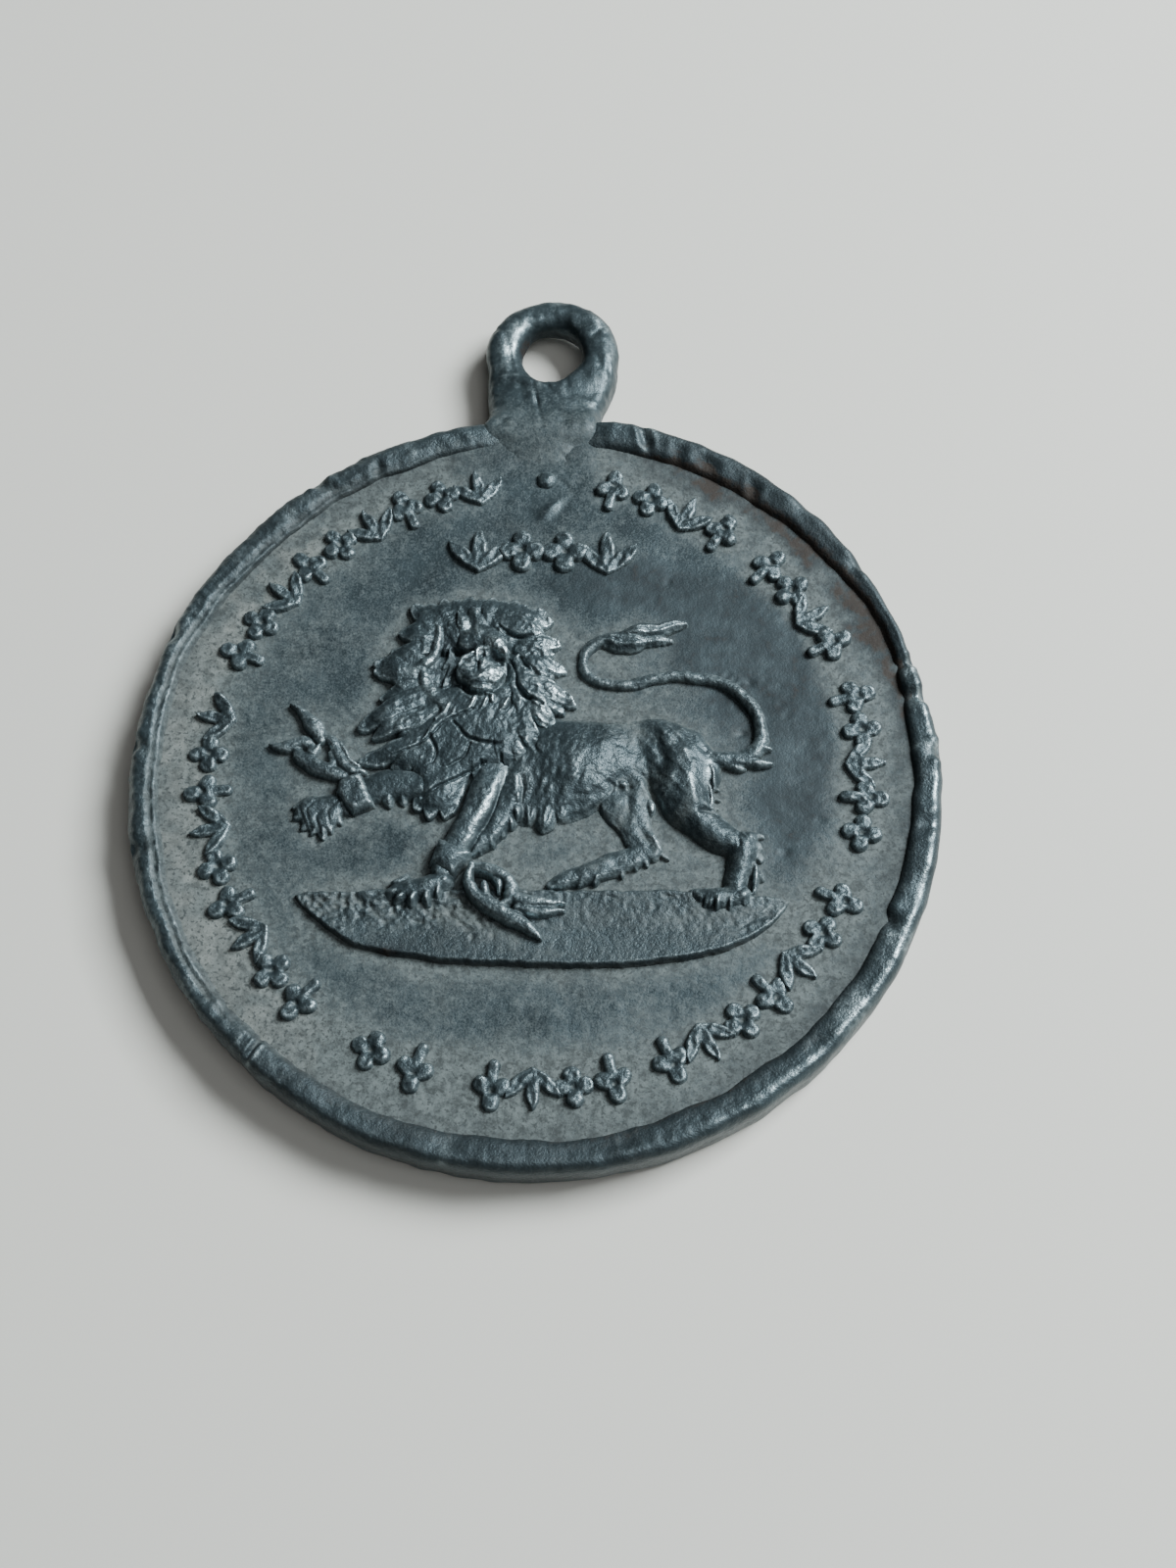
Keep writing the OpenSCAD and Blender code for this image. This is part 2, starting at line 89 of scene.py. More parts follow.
NEAR_PAW = [
    (8.3, -5.4, 0.44, 0.54), (7.6, -5.5, 0.52, 0.6), (6.9, -5.5, 0.5, 0.6), (6.45, -5.38, 0.34, 0.54),
]
RAISED_LEG = [
    (-3.9, -0.9, 0.7, 0.5), (-5.2, -0.98, 0.74, 0.54), (-6, -1, 0.76, 0.48), (-6.9, -1.3, 0.6, 0.36),
]
RAISED_PAW = [
    [(-7.7, -1.8, 0.42, 0.38), (-8.4, -1.95, 0.58, 0.43), (-9, -2.1, 0.56, 0.42), (-9.3, -2.3, 0.34, 0.36)],
    [(-7.95, -2.2, 0.42, 0.37), (-8.4, -2.5, 0.62, 0.42), (-8.9, -2.6, 0.46, 0.4)],
]
TAIL = [
    (6.8, 0.5, 0.4, 0.4), (7.6, 0.42, 0.38, 0.44), (8.4, 0.55, 0.36, 0.44), (8.95, 1.05, 0.34, 0.46),
    (9.06, 1.8, 0.31, 0.46), (8.8, 2.7, 0.29, 0.44), (8.15, 3.45, 0.28, 0.42), (7.2, 3.95, 0.26, 0.4),
    (6, 4.15, 0.25, 0.38), (4.8, 4, 0.24, 0.36), (3.6, 3.75, 0.25, 0.36), (2.5, 3.8, 0.24, 0.36),
    (1.85, 4.25, 0.24, 0.38), (1.75, 4.95, 0.24, 0.38), (2.2, 5.55, 0.26, 0.4), (2.9, 5.75, 0.3, 0.42),
]
TAIL_TUFT = [
    [(2.5, 5.7, 0.26, 0.42), (3.1, 5.65, 0.5, 0.5), (3.7, 5.6, 0.48, 0.5), (4.25, 5.55, 0.16, 0.42)],
    [(3.4, 6, 0.22, 0.46), (4.1, 6.12, 0.42, 0.56), (4.8, 6.24, 0.38, 0.54), (5.4, 6.42, 0.32, 0.5),
     (5.9, 6.5, 0.14, 0.42)],
    [(4.2, 5.6, 0.18, 0.42), (4.7, 5.68, 0.22, 0.46), (5.35, 5.72, 0.14, 0.4)],
]
# A lock's width and height along its length, as shares of the whole
LEAF = ((0, 0.8, 0.8), (0.3, 1, 0.92), (0.6, 0.98, 1), (0.84, 0.78, 1), (1, 0.4, 0.9))
# Locks, toes and claws: x and y of the root, x and y of the tip, sideways bow, half width, height
BODY_LOCKS = [
    (-1.1, -1, -0.62, -1.75, 0.1, 0.26, 0.6), (-1, -1.6, -0.64, -2.3, 0.1, 0.26, 0.56),
    (-1.2, -2.1, -0.88, -2.7, 0.1, 0.24, 0.54), (-1.6, -2.6, -1.24, -3.1, 0.1, 0.24, 0.52),
    (-1.95, -3, -1.6, -3.55, 0.08, 0.22, 0.56), (-2.2, -3.4, -2.05, -3.9, 0.05, 0.16, 0.52),
    (-0.35, -0.9, -0.2, -2.4, 0.1, 0.42, 0.42), (0.2, -1.2, 0.4, -2.72, 0.16, 0.56, 0.46),
    (0.75, -1.1, 1.15, -2.3, 0.1, 0.5, 0.44), (1.4, -1, 1.9, -1.72, 0.06, 0.4, 0.4),
    (1.9, -0.9, 2.4, -1.3, 0.04, 0.24, 0.36),
    (3, -0.6, 3.3, -1, 0.04, 0.2, 0.4), (3.3, -0.6, 3.7, -1.02, 0.04, 0.2, 0.4),
    (8.35, -5.1, 8.42, -5.8, 0, 0.2, 0.52), (7.75, -5.15, 7.72, -6.05, 0.04, 0.22, 0.64),
    (7.3, -5.15, 7.22, -6.05, 0.04, 0.22, 0.66), (6.85, -5.15, 6.72, -5.95, 0.05, 0.21, 0.64),
    (8.6, -2.88, 9.1, -2.9, 0.05, 0.16, 0.24), (8.7, -3.2, 9.02, -3.4, 0.05, 0.18, 0.26),
    (8.7, -3.5, 9.06, -3.9, 0.05, 0.2, 0.28), (8.6, -4, 9.1, -4.66, -0.08, 0.28, 0.3),
    (8.3, -2.7, 8.55, -3.3, 0.05, 0.14, 0.56), (8.05, -2.7, 8.15, -3.4, 0.05, 0.12, 0.6),
    (8.75, -4, 8.72, -5.3, 0.08, 0.13, 0.5),
    (7.15, -0.75, 7.38, -0.9, 0, 0.09, 0.26), (7.15, -1.2, 7.42, -1.3, 0, 0.09, 0.26),
    (7.1, -1.6, 7.4, -1.75, 0, 0.09, 0.26), (6.9, -1.7, 7.7, -2.35, -0.04, 0.14, 0.44),
    (6.72, 0.4, 7.2, -0.9, 0.12, 0.12, 0.56), (6.95, -0.6, 7.12, -1.8, 0.08, 0.1, 0.54),
    (4.45, -2.7, 5.12, -3.6, 0.06, 0.16, 0.4), (4.6, -1.5, 4.75, -2, 0, 0.18, 0.42),
    (4.9, -3.5, 5.4, -3.95, 0.02, 0.12, 0.3), (4.4, -3.8, 4.6, -4.2, 0.02, 0.14, 0.36),
    (4, -3.9, 4.15, -4.35, 0.02, 0.14, 0.36), (3.5, -4.1, 3.55, -4.65, 0.02, 0.16, 0.38),
    (2.6, -4.4, 2.45, -5.05, 0.04, 0.18, 0.44), (2.1, -4.5, 1.85, -5.12, 0.05, 0.18, 0.46),
    (1.7, -4.6, 1.3, -5.2, 0.05, 0.18, 0.48), (1.2, -4.85, 0.78, -5.26, 0.05, 0.16, 0.46),
    (-5, -5.3, -5.8, -5.66, 0.1, 0.28, 0.64), (-4.9, -5.5, -5.28, -6.04, 0.06, 0.28, 0.68),
    (-4.4, -5.5, -4.62, -6.2, -0.06, 0.3, 0.74), (-3.9, -5.4, -4.02, -6.14, -0.06, 0.28, 0.74),
    (-3.5, -5.2, -3.54, -5.86, -0.05, 0.24, 0.7), (-4.9, -4.95, -5.5, -5.2, 0.05, 0.2, 0.58),
    (-9, -1.7, -9.66, -2.1, 0.08, 0.2, 0.34), (-9, -2, -9.56, -2.6, 0.06, 0.2, 0.35),
    (-8.9, -2.3, -9.26, -3, 0.06, 0.2, 0.36), (-8.7, -2.5, -8.86, -3.2, 0.06, 0.2, 0.37),
    (-8.4, -2.5, -8.34, -3.4, -0.06, 0.24, 0.38), (-8.2, -2.4, -8.02, -3.1, -0.04, 0.2, 0.36),
    (-7.95, -2.2, -7.66, -2.7, -0.03, 0.2, 0.34), (-7.7, -1.9, -7.42, -2.3, -0.03, 0.16, 0.32),
    (-6.2, -1.1, -5.76, -1.94, 0.06, 0.28, 0.42), (-5.6, -1.2, -5.2, -1.84, 0.05, 0.26, 0.42),
    (-5.1, -1.1, -4.8, -1.6, 0.04, 0.22, 0.42),
    (8.3, 0.8, 9.45, 0.9, 0.08, 0.16, 0.5), (8.1, 0.45, 9.5, 0.3, -0.1, 0.2, 0.5),
    (7.5, 0.25, 8.4, 0.05, -0.06, 0.16, 0.44), (8.6, 1, 9.4, 1.35, 0, 0.14, 0.46),
]
# Locks of the mane, broad and overlapping, from the top and down each side
MANE_LOCKS = [
    (-4, 6, -4.7, 7.12, 0.1, 0.44, 0.5), (-3.7, 6.1, -4.15, 7.3, 0.06, 0.42, 0.55),
    (-3.3, 6.2, -3.62, 7.26, 0.06, 0.44, 0.52), (-2.95, 6.3, -3.05, 7.46, 0.04, 0.42, 0.58),
    (-2.6, 6.2, -2.55, 7.38, 0, 0.44, 0.54), (-2.2, 6.3, -2.1, 7.5, 0, 0.4, 0.6),
    (-1.9, 6.2, -1.68, 7.32, -0.05, 0.42, 0.56), (-1.6, 6.3, -1.2, 7.34, -0.06, 0.38, 0.58),
    (-1.4, 6.3, -0.8, 7.08, -0.08, 0.42, 0.56),
    (-4.1, 6.1, -5.3, 7.1, 0.16, 0.46, 0.54), (-4.3, 6.2, -5.78, 5.78, 0.08, 0.46, 0.6),
    (-4.4, 5.7, -5.5, 5.5, 0.05, 0.3, 0.66), (-4.4, 5.25, -6.08, 4.82, 0.1, 0.42, 0.66),
    (-4.8, 4.3, -6.72, 4.3, -0.06, 0.42, 0.66), (-4.9, 3.95, -6.68, 3.98, 0.12, 0.42, 0.64),
    (-5, 3.6, -5.9, 3.5, 0.1, 0.34, 0.6), (-4.7, 3.5, -6.35, 2.78, 0.05, 0.4, 0.56),
    (-4.5, 3, -7.16, 1.45, -0.04, 0.5, 0.74), (-4.8, 2.1, -6.6, 1.02, 0, 0.34, 0.64),
    (-4.2, 2.2, -5.9, 1.3, 0.05, 0.3, 0.74), (-4.1, 1.1, -6.98, -0.02, 0.1, 0.5, 0.72),
    (-3.5, 0.75, -5.65, -0.3, 0.06, 0.46, 0.8), (-3.6, 0.2, -4.9, -0.65, 0.04, 0.36, 0.74),
    (-3.6, 0, -4.66, -2.02, -0.12, 0.46, 0.68), (-3.3, -0.1, -4.2, -2.3, -0.1, 0.5, 0.7),
    (-2.9, -0.2, -3.56, -2.28, -0.06, 0.5, 0.74),
    (-3.5, 1.9, -4.5, 0.25, 0.08, 0.54, 0.84), (-2.7, 1.9, -3.6, -0.1, 0.1, 0.6, 0.88),
    (-1.9, 2, -2.6, 0.05, 0.06, 0.58, 0.92), (-1.1, 2.2, -1.4, 0.2, 0.04, 0.5, 0.9),
    (-0.6, 2.1, -0.25, 0.55, -0.06, 0.36, 0.88), (-2.2, 1, -2.3, -0.7, 0, 0.36, 0.84),
    (-1.85, 6.3, -0.1, 5.92, -0.02, 0.5, 0.84), (-1, 6.2, 0.36, 6.42, 0.06, 0.38, 0.7),
    (-0.9, 6.5, 0.08, 6.92, 0.04, 0.32, 0.6), (-0.9, 5.45, 0.68, 5.42, 0.06, 0.44, 0.72),
    (-0.8, 5.1, 0.5, 4.95, 0, 0.26, 0.64), (-0.6, 4.6, 0.98, 4.2, 0.08, 0.36, 0.68),
    (-0.1, 3.65, 1.42, 2.7, 0.06, 0.34, 0.74), (0, 3.1, 1, 2.35, 0.02, 0.3, 0.64),
    (-0.8, 4.5, 0.26, 2.45, -0.12, 0.42, 0.92), (-0.9, 5.1, 0.3, 3.9, 0.06, 0.32, 0.84),
    (-0.95, 5.5, -0.1, 5.05, 0.05, 0.28, 0.76), (-0.7, 2.7, 0.62, 1.82, 0.05, 0.4, 0.82),
    (-0.1, 2.1, 0.95, 1.28, 0.04, 0.28, 0.68), (-0.6, 2.1, 0.18, 0.45, -0.04, 0.34, 0.84),
    (-1, 1.1, -0.45, -0.3, 0.05, 0.32, 0.88), (-1.35, 0.9, -1.2, -0.45, 0, 0.3, 0.9),
    (-2.3, 5.5, -2.9, 6.85, 0.1, 0.34, 0.78), (-2.7, 5.4, -3.4, 6.6, 0.1, 0.34, 0.76),
    (-3, 5.2, -3.75, 6.2, 0.08, 0.32, 0.68), (-2, 5.6, -2.3, 6.9, 0.08, 0.32, 0.72),
    (-1.9, 5.5, -1.65, 6.5, -0.02, 0.3, 0.7), (-3.3, 5.2, -4, 5.9, 0.06, 0.26, 0.6),
    (-3.1, 2.95, -4, 1.45, 0.1, 0.34, 0.84), (-2.6, 2.95, -3.45, 1.35, 0.1, 0.34, 0.88),
    (-2.1, 2.9, -2.9, 1.25, 0.1, 0.36, 0.9), (-1.6, 2.9, -2.3, 1.25, 0.08, 0.36, 0.9),
    (-1.15, 2.95, -1.65, 1.25, 0.06, 0.34, 0.88), (-3.6, 5.3, -3.95, 4.1, 0.1, 0.16, 0.46),
    (-3.6, 4.4, -3.9, 3.2, 0.06, 0.16, 0.52), (-3.75, 5.9, -4, 4.9, 0.05, 0.14, 0.5),
    (-0.98, 3.8, -0.75, 2.3, -0.06, 0.24, 0.86),
]
MANE_BASE = [
    [(-4.5, 6.4, 0.4, 0.42), (-3.4, 6.5, 0.42, 0.5), (-2.4, 6.6, 0.42, 0.54), (-1.4, 6.52, 0.42, 0.54),
     (-0.7, 6.5, 0.42, 0.46)],
    [(-4.8, 5.4, 0.6, 0.46), (-3, 5.8, 0.9, 0.58), (-1, 5.6, 0.8, 0.62), (-0.1, 5.4, 0.5, 0.52)],
    [(-5.2, 4, 0.65, 0.46), (-3.8, 4, 0.9, 0.3), (-1, 4.2, 0.9, 0.64), (0.1, 4.1, 0.55, 0.54)],
    [(-5.2, 2.6, 0.5, 0.5), (-3.5, 2.6, 0.9, 0.66), (-1, 2.9, 0.9, 0.74), (0.2, 2.4, 0.55, 0.58)],
    [(-5.3, 1.2, 0.45, 0.5), (-3.5, 1.3, 0.9, 0.72), (-1.5, 1.4, 0.9, 0.82), (-0.2, 1.2, 0.5, 0.64)],
    [(-5.2, 0.2, 0.35, 0.48), (-3.8, 0.1, 0.7, 0.64), (-2.2, 0.2, 0.7, 0.74), (-1, 0.3, 0.4, 0.66)],
    [(-3.7, -0.9, 0.7, 0.6), (-4.1, -1.5, 0.55, 0.56), (-3.6, -1.75, 0.5, 0.56)],
    [(-3, 3, 0.5, 0.72), (-2.2, 2.6, 0.8, 0.8), (-1.4, 3, 0.5, 0.76)],
]
# Middle of the face, from which the hair fans out
FACE_AT = (-2.4, 3.9)
# Bright ridges of the ruff round the face and of the beard
RUFF = [
    [(-4.25, 5.95, 0.14, 0.66), (-4.32, 5.2, 0.22, 0.74), (-4.45, 4.6, 0.22, 0.74), (-4.8, 4.2, 0.26, 0.68),
     (-5.2, 3.92, 0.2, 0.6)],
    [(-4.8, 4.1, 0.16, 0.62), (-4.66, 3.4, 0.26, 0.66), (-4.25, 2.85, 0.28, 0.72), (-3.85, 2.45, 0.24, 0.78),
     (-3.8, 2.15, 0.12, 0.78)],
    [(-3.6, 2.45, 0.08, 0.88), (-3.78, 1.95, 0.1, 0.94), (-4.08, 1.72, 0.06, 0.86)],
    [(-3.32, 2.3, 0.08, 0.9), (-3.48, 1.88, 0.1, 0.96), (-3.75, 1.62, 0.06, 0.88)],
    [(-2.48, 2.92, 0.08, 0.9), (-2.66, 2.55, 0.14, 1), (-2.9, 2.12, 0.1, 0.96), (-3.2, 1.8, 0.05, 0.9)],
    [(-1.2, 2.7, 0.08, 0.94), (-1.36, 2.35, 0.13, 1.02), (-1.62, 2.08, 0.06, 0.96)],
    [(-2, 2.8, 0.08, 0.9), (-2.12, 2.4, 0.12, 0.98), (-2.4, 2.05, 0.06, 0.94)],
]
# Grooves are lists of places along them: x, y, half width, depth. First those between the locks
MANE_LINES = [
    [(-1.76, 6.1, 0.06, 0.08), (-1.42, 5.74, 0.08, 0.2), (-0.83, 5.62, 0.08, 0.24), (-0.3, 5.68, 0.06, 0.1)],
    [(-0.95, 3.9, 0.05, 0.1), (-0.8, 3.2, 0.08, 0.22), (-0.56, 2.86, 0.08, 0.24), (0.2, 2.48, 0.06, 0.16)],
    [(-0.86, 4.6, 0.06, 0.16), (-0.58, 4.2, 0.07, 0.16), (-0.3, 3.98, 0.05, 0.06)],
    [(-0.72, 1.02, 0.06, 0.14), (-0.42, 0.62, 0.1, 0.3), (-0.1, 0.22, 0.07, 0.16)],
    [(-3.35, 1.56, 0.05, 0.12), (-2.76, 0.95, 0.07, 0.2), (-2.1, 0.7, 0.07, 0.2), (-1.48, 0.62, 0.05, 0.1)],
    [(-2.15, -0.1, 0.06, 0.2), (-2, -0.7, 0.07, 0.22)], [(-1.42, 0.2, 0.06, 0.2), (-1.34, -0.5, 0.07, 0.24)],
    [(-4.5, -1.6, 0.07, 0.16), (-3.85, -1.2, 0.07, 0.18), (-2.9, -0.66, 0.07, 0.18), (-2, -0.1, 0.06, 0.14)],
    [(-5.85, 0.2, 0.05, 0.1), (-5.2, 0.34, 0.06, 0.16), (-4.6, 0.66, 0.06, 0.16), (-3.9, 1.4, 0.06, 0.16),
     (-3.3, 1.85, 0.06, 0.16), (-2.7, 2.2, 0.05, 0.1)],
    [(-4.3, 1.05, 0.06, 0.16), (-4.02, 0.4, 0.07, 0.18), (-4.15, -0.1, 0.06, 0.12)],
    [(-1.1, 2.9, 0.05, 0.1), (-1.1, 2.5, 0.07, 0.2), (-1.34, 2.1, 0.06, 0.12)],
    [(0.48, 2.74, 0.06, 0.12), (0.8, 2.64, 0.07, 0.16), (1.3, 2.68, 0.05, 0.08)],
    [(-2.6, 0.6, 0.05, 0.1), (-2.9, 0.1, 0.06, 0.16), (-3.5, -0.3, 0.05, 0.1)],
    [(0, 1.6, 0.05, 0.12), (0.3, 1.2, 0.07, 0.2), (0.5, 0.9, 0.05, 0.08)],
]
# The face: forms of its forehead, cheeks, muzzle and chin, then ridges on them, hollows and grooves
FACE_FORMS = [
    [(-2.95, 5.35, 0.5, 0.8), (-2.45, 5.45, 0.66, 0.88), (-1.95, 5.3, 0.5, 0.88)],
    [(-2.5, 4.52, 0.56, 0.9), (-2.25, 4.45, 0.74, 0.97), (-1.95, 4.4, 0.56, 0.94)],
    [(-2.76, 3.98, 0.7, 0.98), (-2.3, 3.9, 0.82, 1), (-1.95, 3.9, 0.56, 0.94)],
    [(-2.6, 3.52, 0.42, 0.92), (-2.3, 3.44, 0.48, 0.98), (-1.95, 3.48, 0.4, 0.92)],
    [(-2.66, 3.14, 0.18, 0.88), (-2.3, 3.08, 0.24, 0.95), (-1.96, 3.12, 0.2, 0.9)],
]
FACE_RIDGES = [
    [(-2.62, 4.5, 0.1, 0.98), (-2.6, 4.74, 0.14, 1.04), (-2.4, 4.88, 0.15, 1.04), (-2.18, 4.84, 0.1, 0.98)],
    [(-2.1, 5.12, 0.24, 0.98), (-1.92, 5.08, 0.42, 1.1), (-1.74, 4.84, 0.42, 1.14),
     (-1.56, 4.55, 0.26, 1.04), (-1.48, 4.25, 0.12, 0.94)],
    [(-2.3, 4.42, 0.14, 1.02), (-2.22, 4.2, 0.2, 1.08), (-2.3, 4, 0.22, 1.06)],
    [(-2.14, 3.46, 0.28, 1), (-1.94, 3.68, 0.46, 1.12), (-1.66, 3.94, 0.3, 1.04), (-1.52, 4.14, 0.14, 0.96)],
    [(-2.75, 3.5, 0.12, 0.98), (-2.42, 3.58, 0.2, 1.07), (-2.16, 3.66, 0.16, 1.04)],
    [(-2.74, 3.16, 0.08, 0.9), (-2.5, 3.04, 0.12, 0.97), (-2.2, 2.98, 0.1, 0.94)],
    [(-2.1, 2.96, 0.08, 0.9), (-1.86, 2.76, 0.12, 0.96), (-1.8, 2.5, 0.08, 0.92)],
    [(-3.28, 4.1, 0.1, 0.98), (-3.1, 4.42, 0.13, 1), (-2.8, 4.64, 0.1, 0.98)],
    [(-3.12, 3.92, 0.14, 1), (-2.9, 3.86, 0.16, 1.03), (-2.72, 3.94, 0.1, 1)],
]
FACE_HOLLOWS = [
    (-1.86, 4.58, 0.26, 0.12, -45, -0.34), (-2.36, 4.56, 0.12, 0.14, 0, -0.2),
    (-3.04, 4.2, 0.2, 0.08, -20, -0.08), (-2.62, 4.16, 0.1, 0.2, 0, -0.08), (-2, 3.3, 0.1, 0.06, 0, -0.1),
    (-1.7, 3.55, 0.07, 0.06, 0, -0.08), (-1.86, 3.5, 0.06, 0.05, 0, -0.08),
    (-3.1, 3.55, 0.1, 0.08, 0, -0.08),
]
FACE_GROOVES = [
    [(-3.14, 3.3, 0.1, 0.2), (-2.9, 3.02, 0.1, 0.22), (-2.4, 2.88, 0.1, 0.22), (-1.9, 2.92, 0.08, 0.14)],
    [(-2.75, 3.36, 0.06, 0.05), (-2.3, 3.27, 0.07, 0.07), (-1.95, 3.34, 0.05, 0.03)],
    [(-3.55, 4.98, 0.1, 0.2), (-3.3, 4.84, 0.09, 0.2), (-3, 4.78, 0.07, 0.12), (-2.8, 4.84, 0.06, 0.1)],
    [(-2.5, 4.42, 0.05, 0.08), (-2.52, 4.1, 0.06, 0.1), (-2.5, 3.82, 0.05, 0.04)],
    [(-1.3, 4.55, 0.06, 0.14), (-1.1, 4.3, 0.08, 0.2), (-0.98, 4, 0.06, 0.1)],
]
# Folds of the body: x, y, half width, depth
BODY_CREASES = [
    [(-9.2, -1.75, 0.06, 0.02), (-9.34, -2.2, 0.06, 0.04), (-9.1, -2.75, 0.06, 0.05)],
    [(-8.75, -1.9, 0.06, 0.02), (-9.05, -2.3, 0.06, 0.05), (-8.85, -3, 0.06, 0.05)],
    [(-8.3, -2.1, 0.06, 0.02), (-8.66, -2.5, 0.06, 0.05), (-8.52, -3, 0.06, 0.06)],
    [(-7.9, -1.9, 0.06, 0.02), (-8.2, -2.25, 0.06, 0.04), (-8.1, -2.8, 0.06, 0.05)],
    [(4.6, 1.7, 0.3, 0.08), (4.9, 1.1, 0.3, 0.14), (5.1, 0.3, 0.3, 0.12), (5.2, -0.3, 0.2, 0.05)],
    [(5.1, 1.9, 0.14, 0.05), (5.6, 1.2, 0.14, 0.08), (5.85, 0.85, 0.14, 0.08)],
    [(3, -0.75, 0.12, 0.1), (3.4, -0.95, 0.1, 0.14), (3.8, -0.9, 0.12, 0.1)],
    [(-0.55, -0.6, 0.12, 0.1), (-0.5, -1.2, 0.12, 0.14), (-0.6, -1.7, 0.1, 0.1)],
    [(-0.45, 1.2, 0.12, 0.1), (-0.1, 0.8, 0.1, 0.12), (0.15, 0.35, 0.08, 0.06)],
    [(6.6, -1.95, 0.12, 0.12), (7, -1.95, 0.14, 0.16), (7.3, -2.15, 0.1, 0.1)],
    [(8.1, -2.8, 0.06, 0.1), (8.2, -3.4, 0.06, 0.1)],
    [(6.74, -5.55, 0.06, 0.06), (6.68, -6, 0.09, 0.4)], [(7.15, -5.6, 0.06, 0.06), (7.14, -6.1, 0.09, 0.45)],
    [(7.66, -5.6, 0.06, 0.06), (7.68, -6.1, 0.09, 0.45)],
]
# Soft swellings and hollows of the body: x, y, radius across, radius up, turn in degrees, height
BODY_SWELLS = [
    (1.7, 0.1, 1.2, 1.7, 0, 0.16), (2.7, 0.4, 0.4, 0.9, 10, 0.08), (4.2, 0.9, 0.6, 1.1, 12, -0.26),
    (5.9, -0.4, 0.9, 1.4, 15, 0.12), (6.35, 1, 0.35, 0.6, 40, 0.06), (5.3, 1.6, 0.6, 0.3, -32, 0.08),
    (6.35, -1.3, 0.26, 0.9, 2, 0.08), (5.95, 0.55, 0.22, 0.4, 25, 0.1), (0.6, 0.9, 0.9, 0.8, 0, 0.06),
    (1.3, -0.2, 0.3, 0.6, 15, 0.04), (0.5, -0.6, 0.3, 0.6, 15, -0.04), (5.35, -0.9, 0.2, 0.35, -30, 0.08),
    (4.8, -0.4, 0.3, 0.7, -30, -0.1), (6.75, -1.9, 0.4, 0.16, 0, -0.12), (2.3, 1.3, 0.8, 0.3, 0, -0.04),
    (1, 0.3, 0.16, 0.6, 12, -0.03), (1.9, -0.2, 0.16, 0.6, 12, -0.03), (3.6, 0.2, 0.3, 0.5, 0, 0.05),
]
FAR_SWELLS = [
    (3.2, -0.7, 0.6, 0.25, 0, -0.1), (3.3, -1.6, 0.35, 0.5, 0, 0.07), (4.1, -1.5, 0.2, 0.6, 0, 0.05),
    (3.75, -1.7, 0.12, 0.7, -5, -0.06), (4.5, -3.1, 0.12, 0.4, 30, -0.1), (3.9, -2.6, 0.25, 0.5, 20, 0.05),
]
# Plates with a clear edge: outline, height, width of the sloping edge
CUFFS = [
    ([(-7, -0.55), (-7.6, -0.7), (-7.92, -0.95), (-8, -1.5), (-7.6, -2.1), (-7.2, -2.42),
      (-6.72, -2.18), (-6.3, -1.97), (-6.5, -1.5), (-6.8, -0.9)], 0.66, 0.3),
    ([(-3.74, -3.32), (-3, -3.5), (-2.25, -3.92), (-2.4, -4.2), (-2.85, -4.72), (-3.05, -4.95),
      (-3.6, -4.72), (-4.1, -4.45), (-3.98, -4.05)], 0.9, 0.55),
]
SHACKLE = [
    [(-8.75, 0.85, 0.26, 0.4), (-9, 1.35, 0.4, 0.46), (-9.42, 1.85, 0.28, 0.42),
     (-9.8, 2.2, 0.17, 0.38), (-10.12, 2.46, 0.05, 0.3)],
    [(-9.15, 0.55, 0.2, 0.36), (-9.5, 0.76, 0.32, 0.42), (-10, 0.56, 0.3, 0.42),
     (-10.5, 0.55, 0.18, 0.38), (-10.82, 0.6, 0.05, 0.3)],
    [(-9.75, 0.45, 0.2, 0.36), (-9.45, 0.05, 0.3, 0.44), (-8.95, -0.25, 0.36, 0.48),
     (-8.4, -0.42, 0.36, 0.48), (-7.75, -0.7, 0.24, 0.44)],
    [(-8.55, 0.95, 0.14, 0.38), (-8.25, 0.82, 0.24, 0.44), (-8.05, 0.4, 0.26, 0.46),
     (-7.85, 0, 0.3, 0.46), (-7.5, -0.38, 0.26, 0.44), (-6.9, -0.5, 0.12, 0.34)],
    [(-7.95, 0.75, 0.1, 0.4), (-7.7, 0.4, 0.1, 0.42), (-7.5, 0.05, 0.1, 0.4), (-7.1, -0.25, 0.1, 0.34)],
    [(-8.3, 0.3, 0.14, 0.38), (-8.15, 0, 0.22, 0.42), (-8.2, -0.3, 0.22, 0.42)],
    [(-9.2, 0.6, 0.16, 0.36), (-9.1, 0.2, 0.22, 0.4), (-8.85, 0.5, 0.16, 0.36)],
]
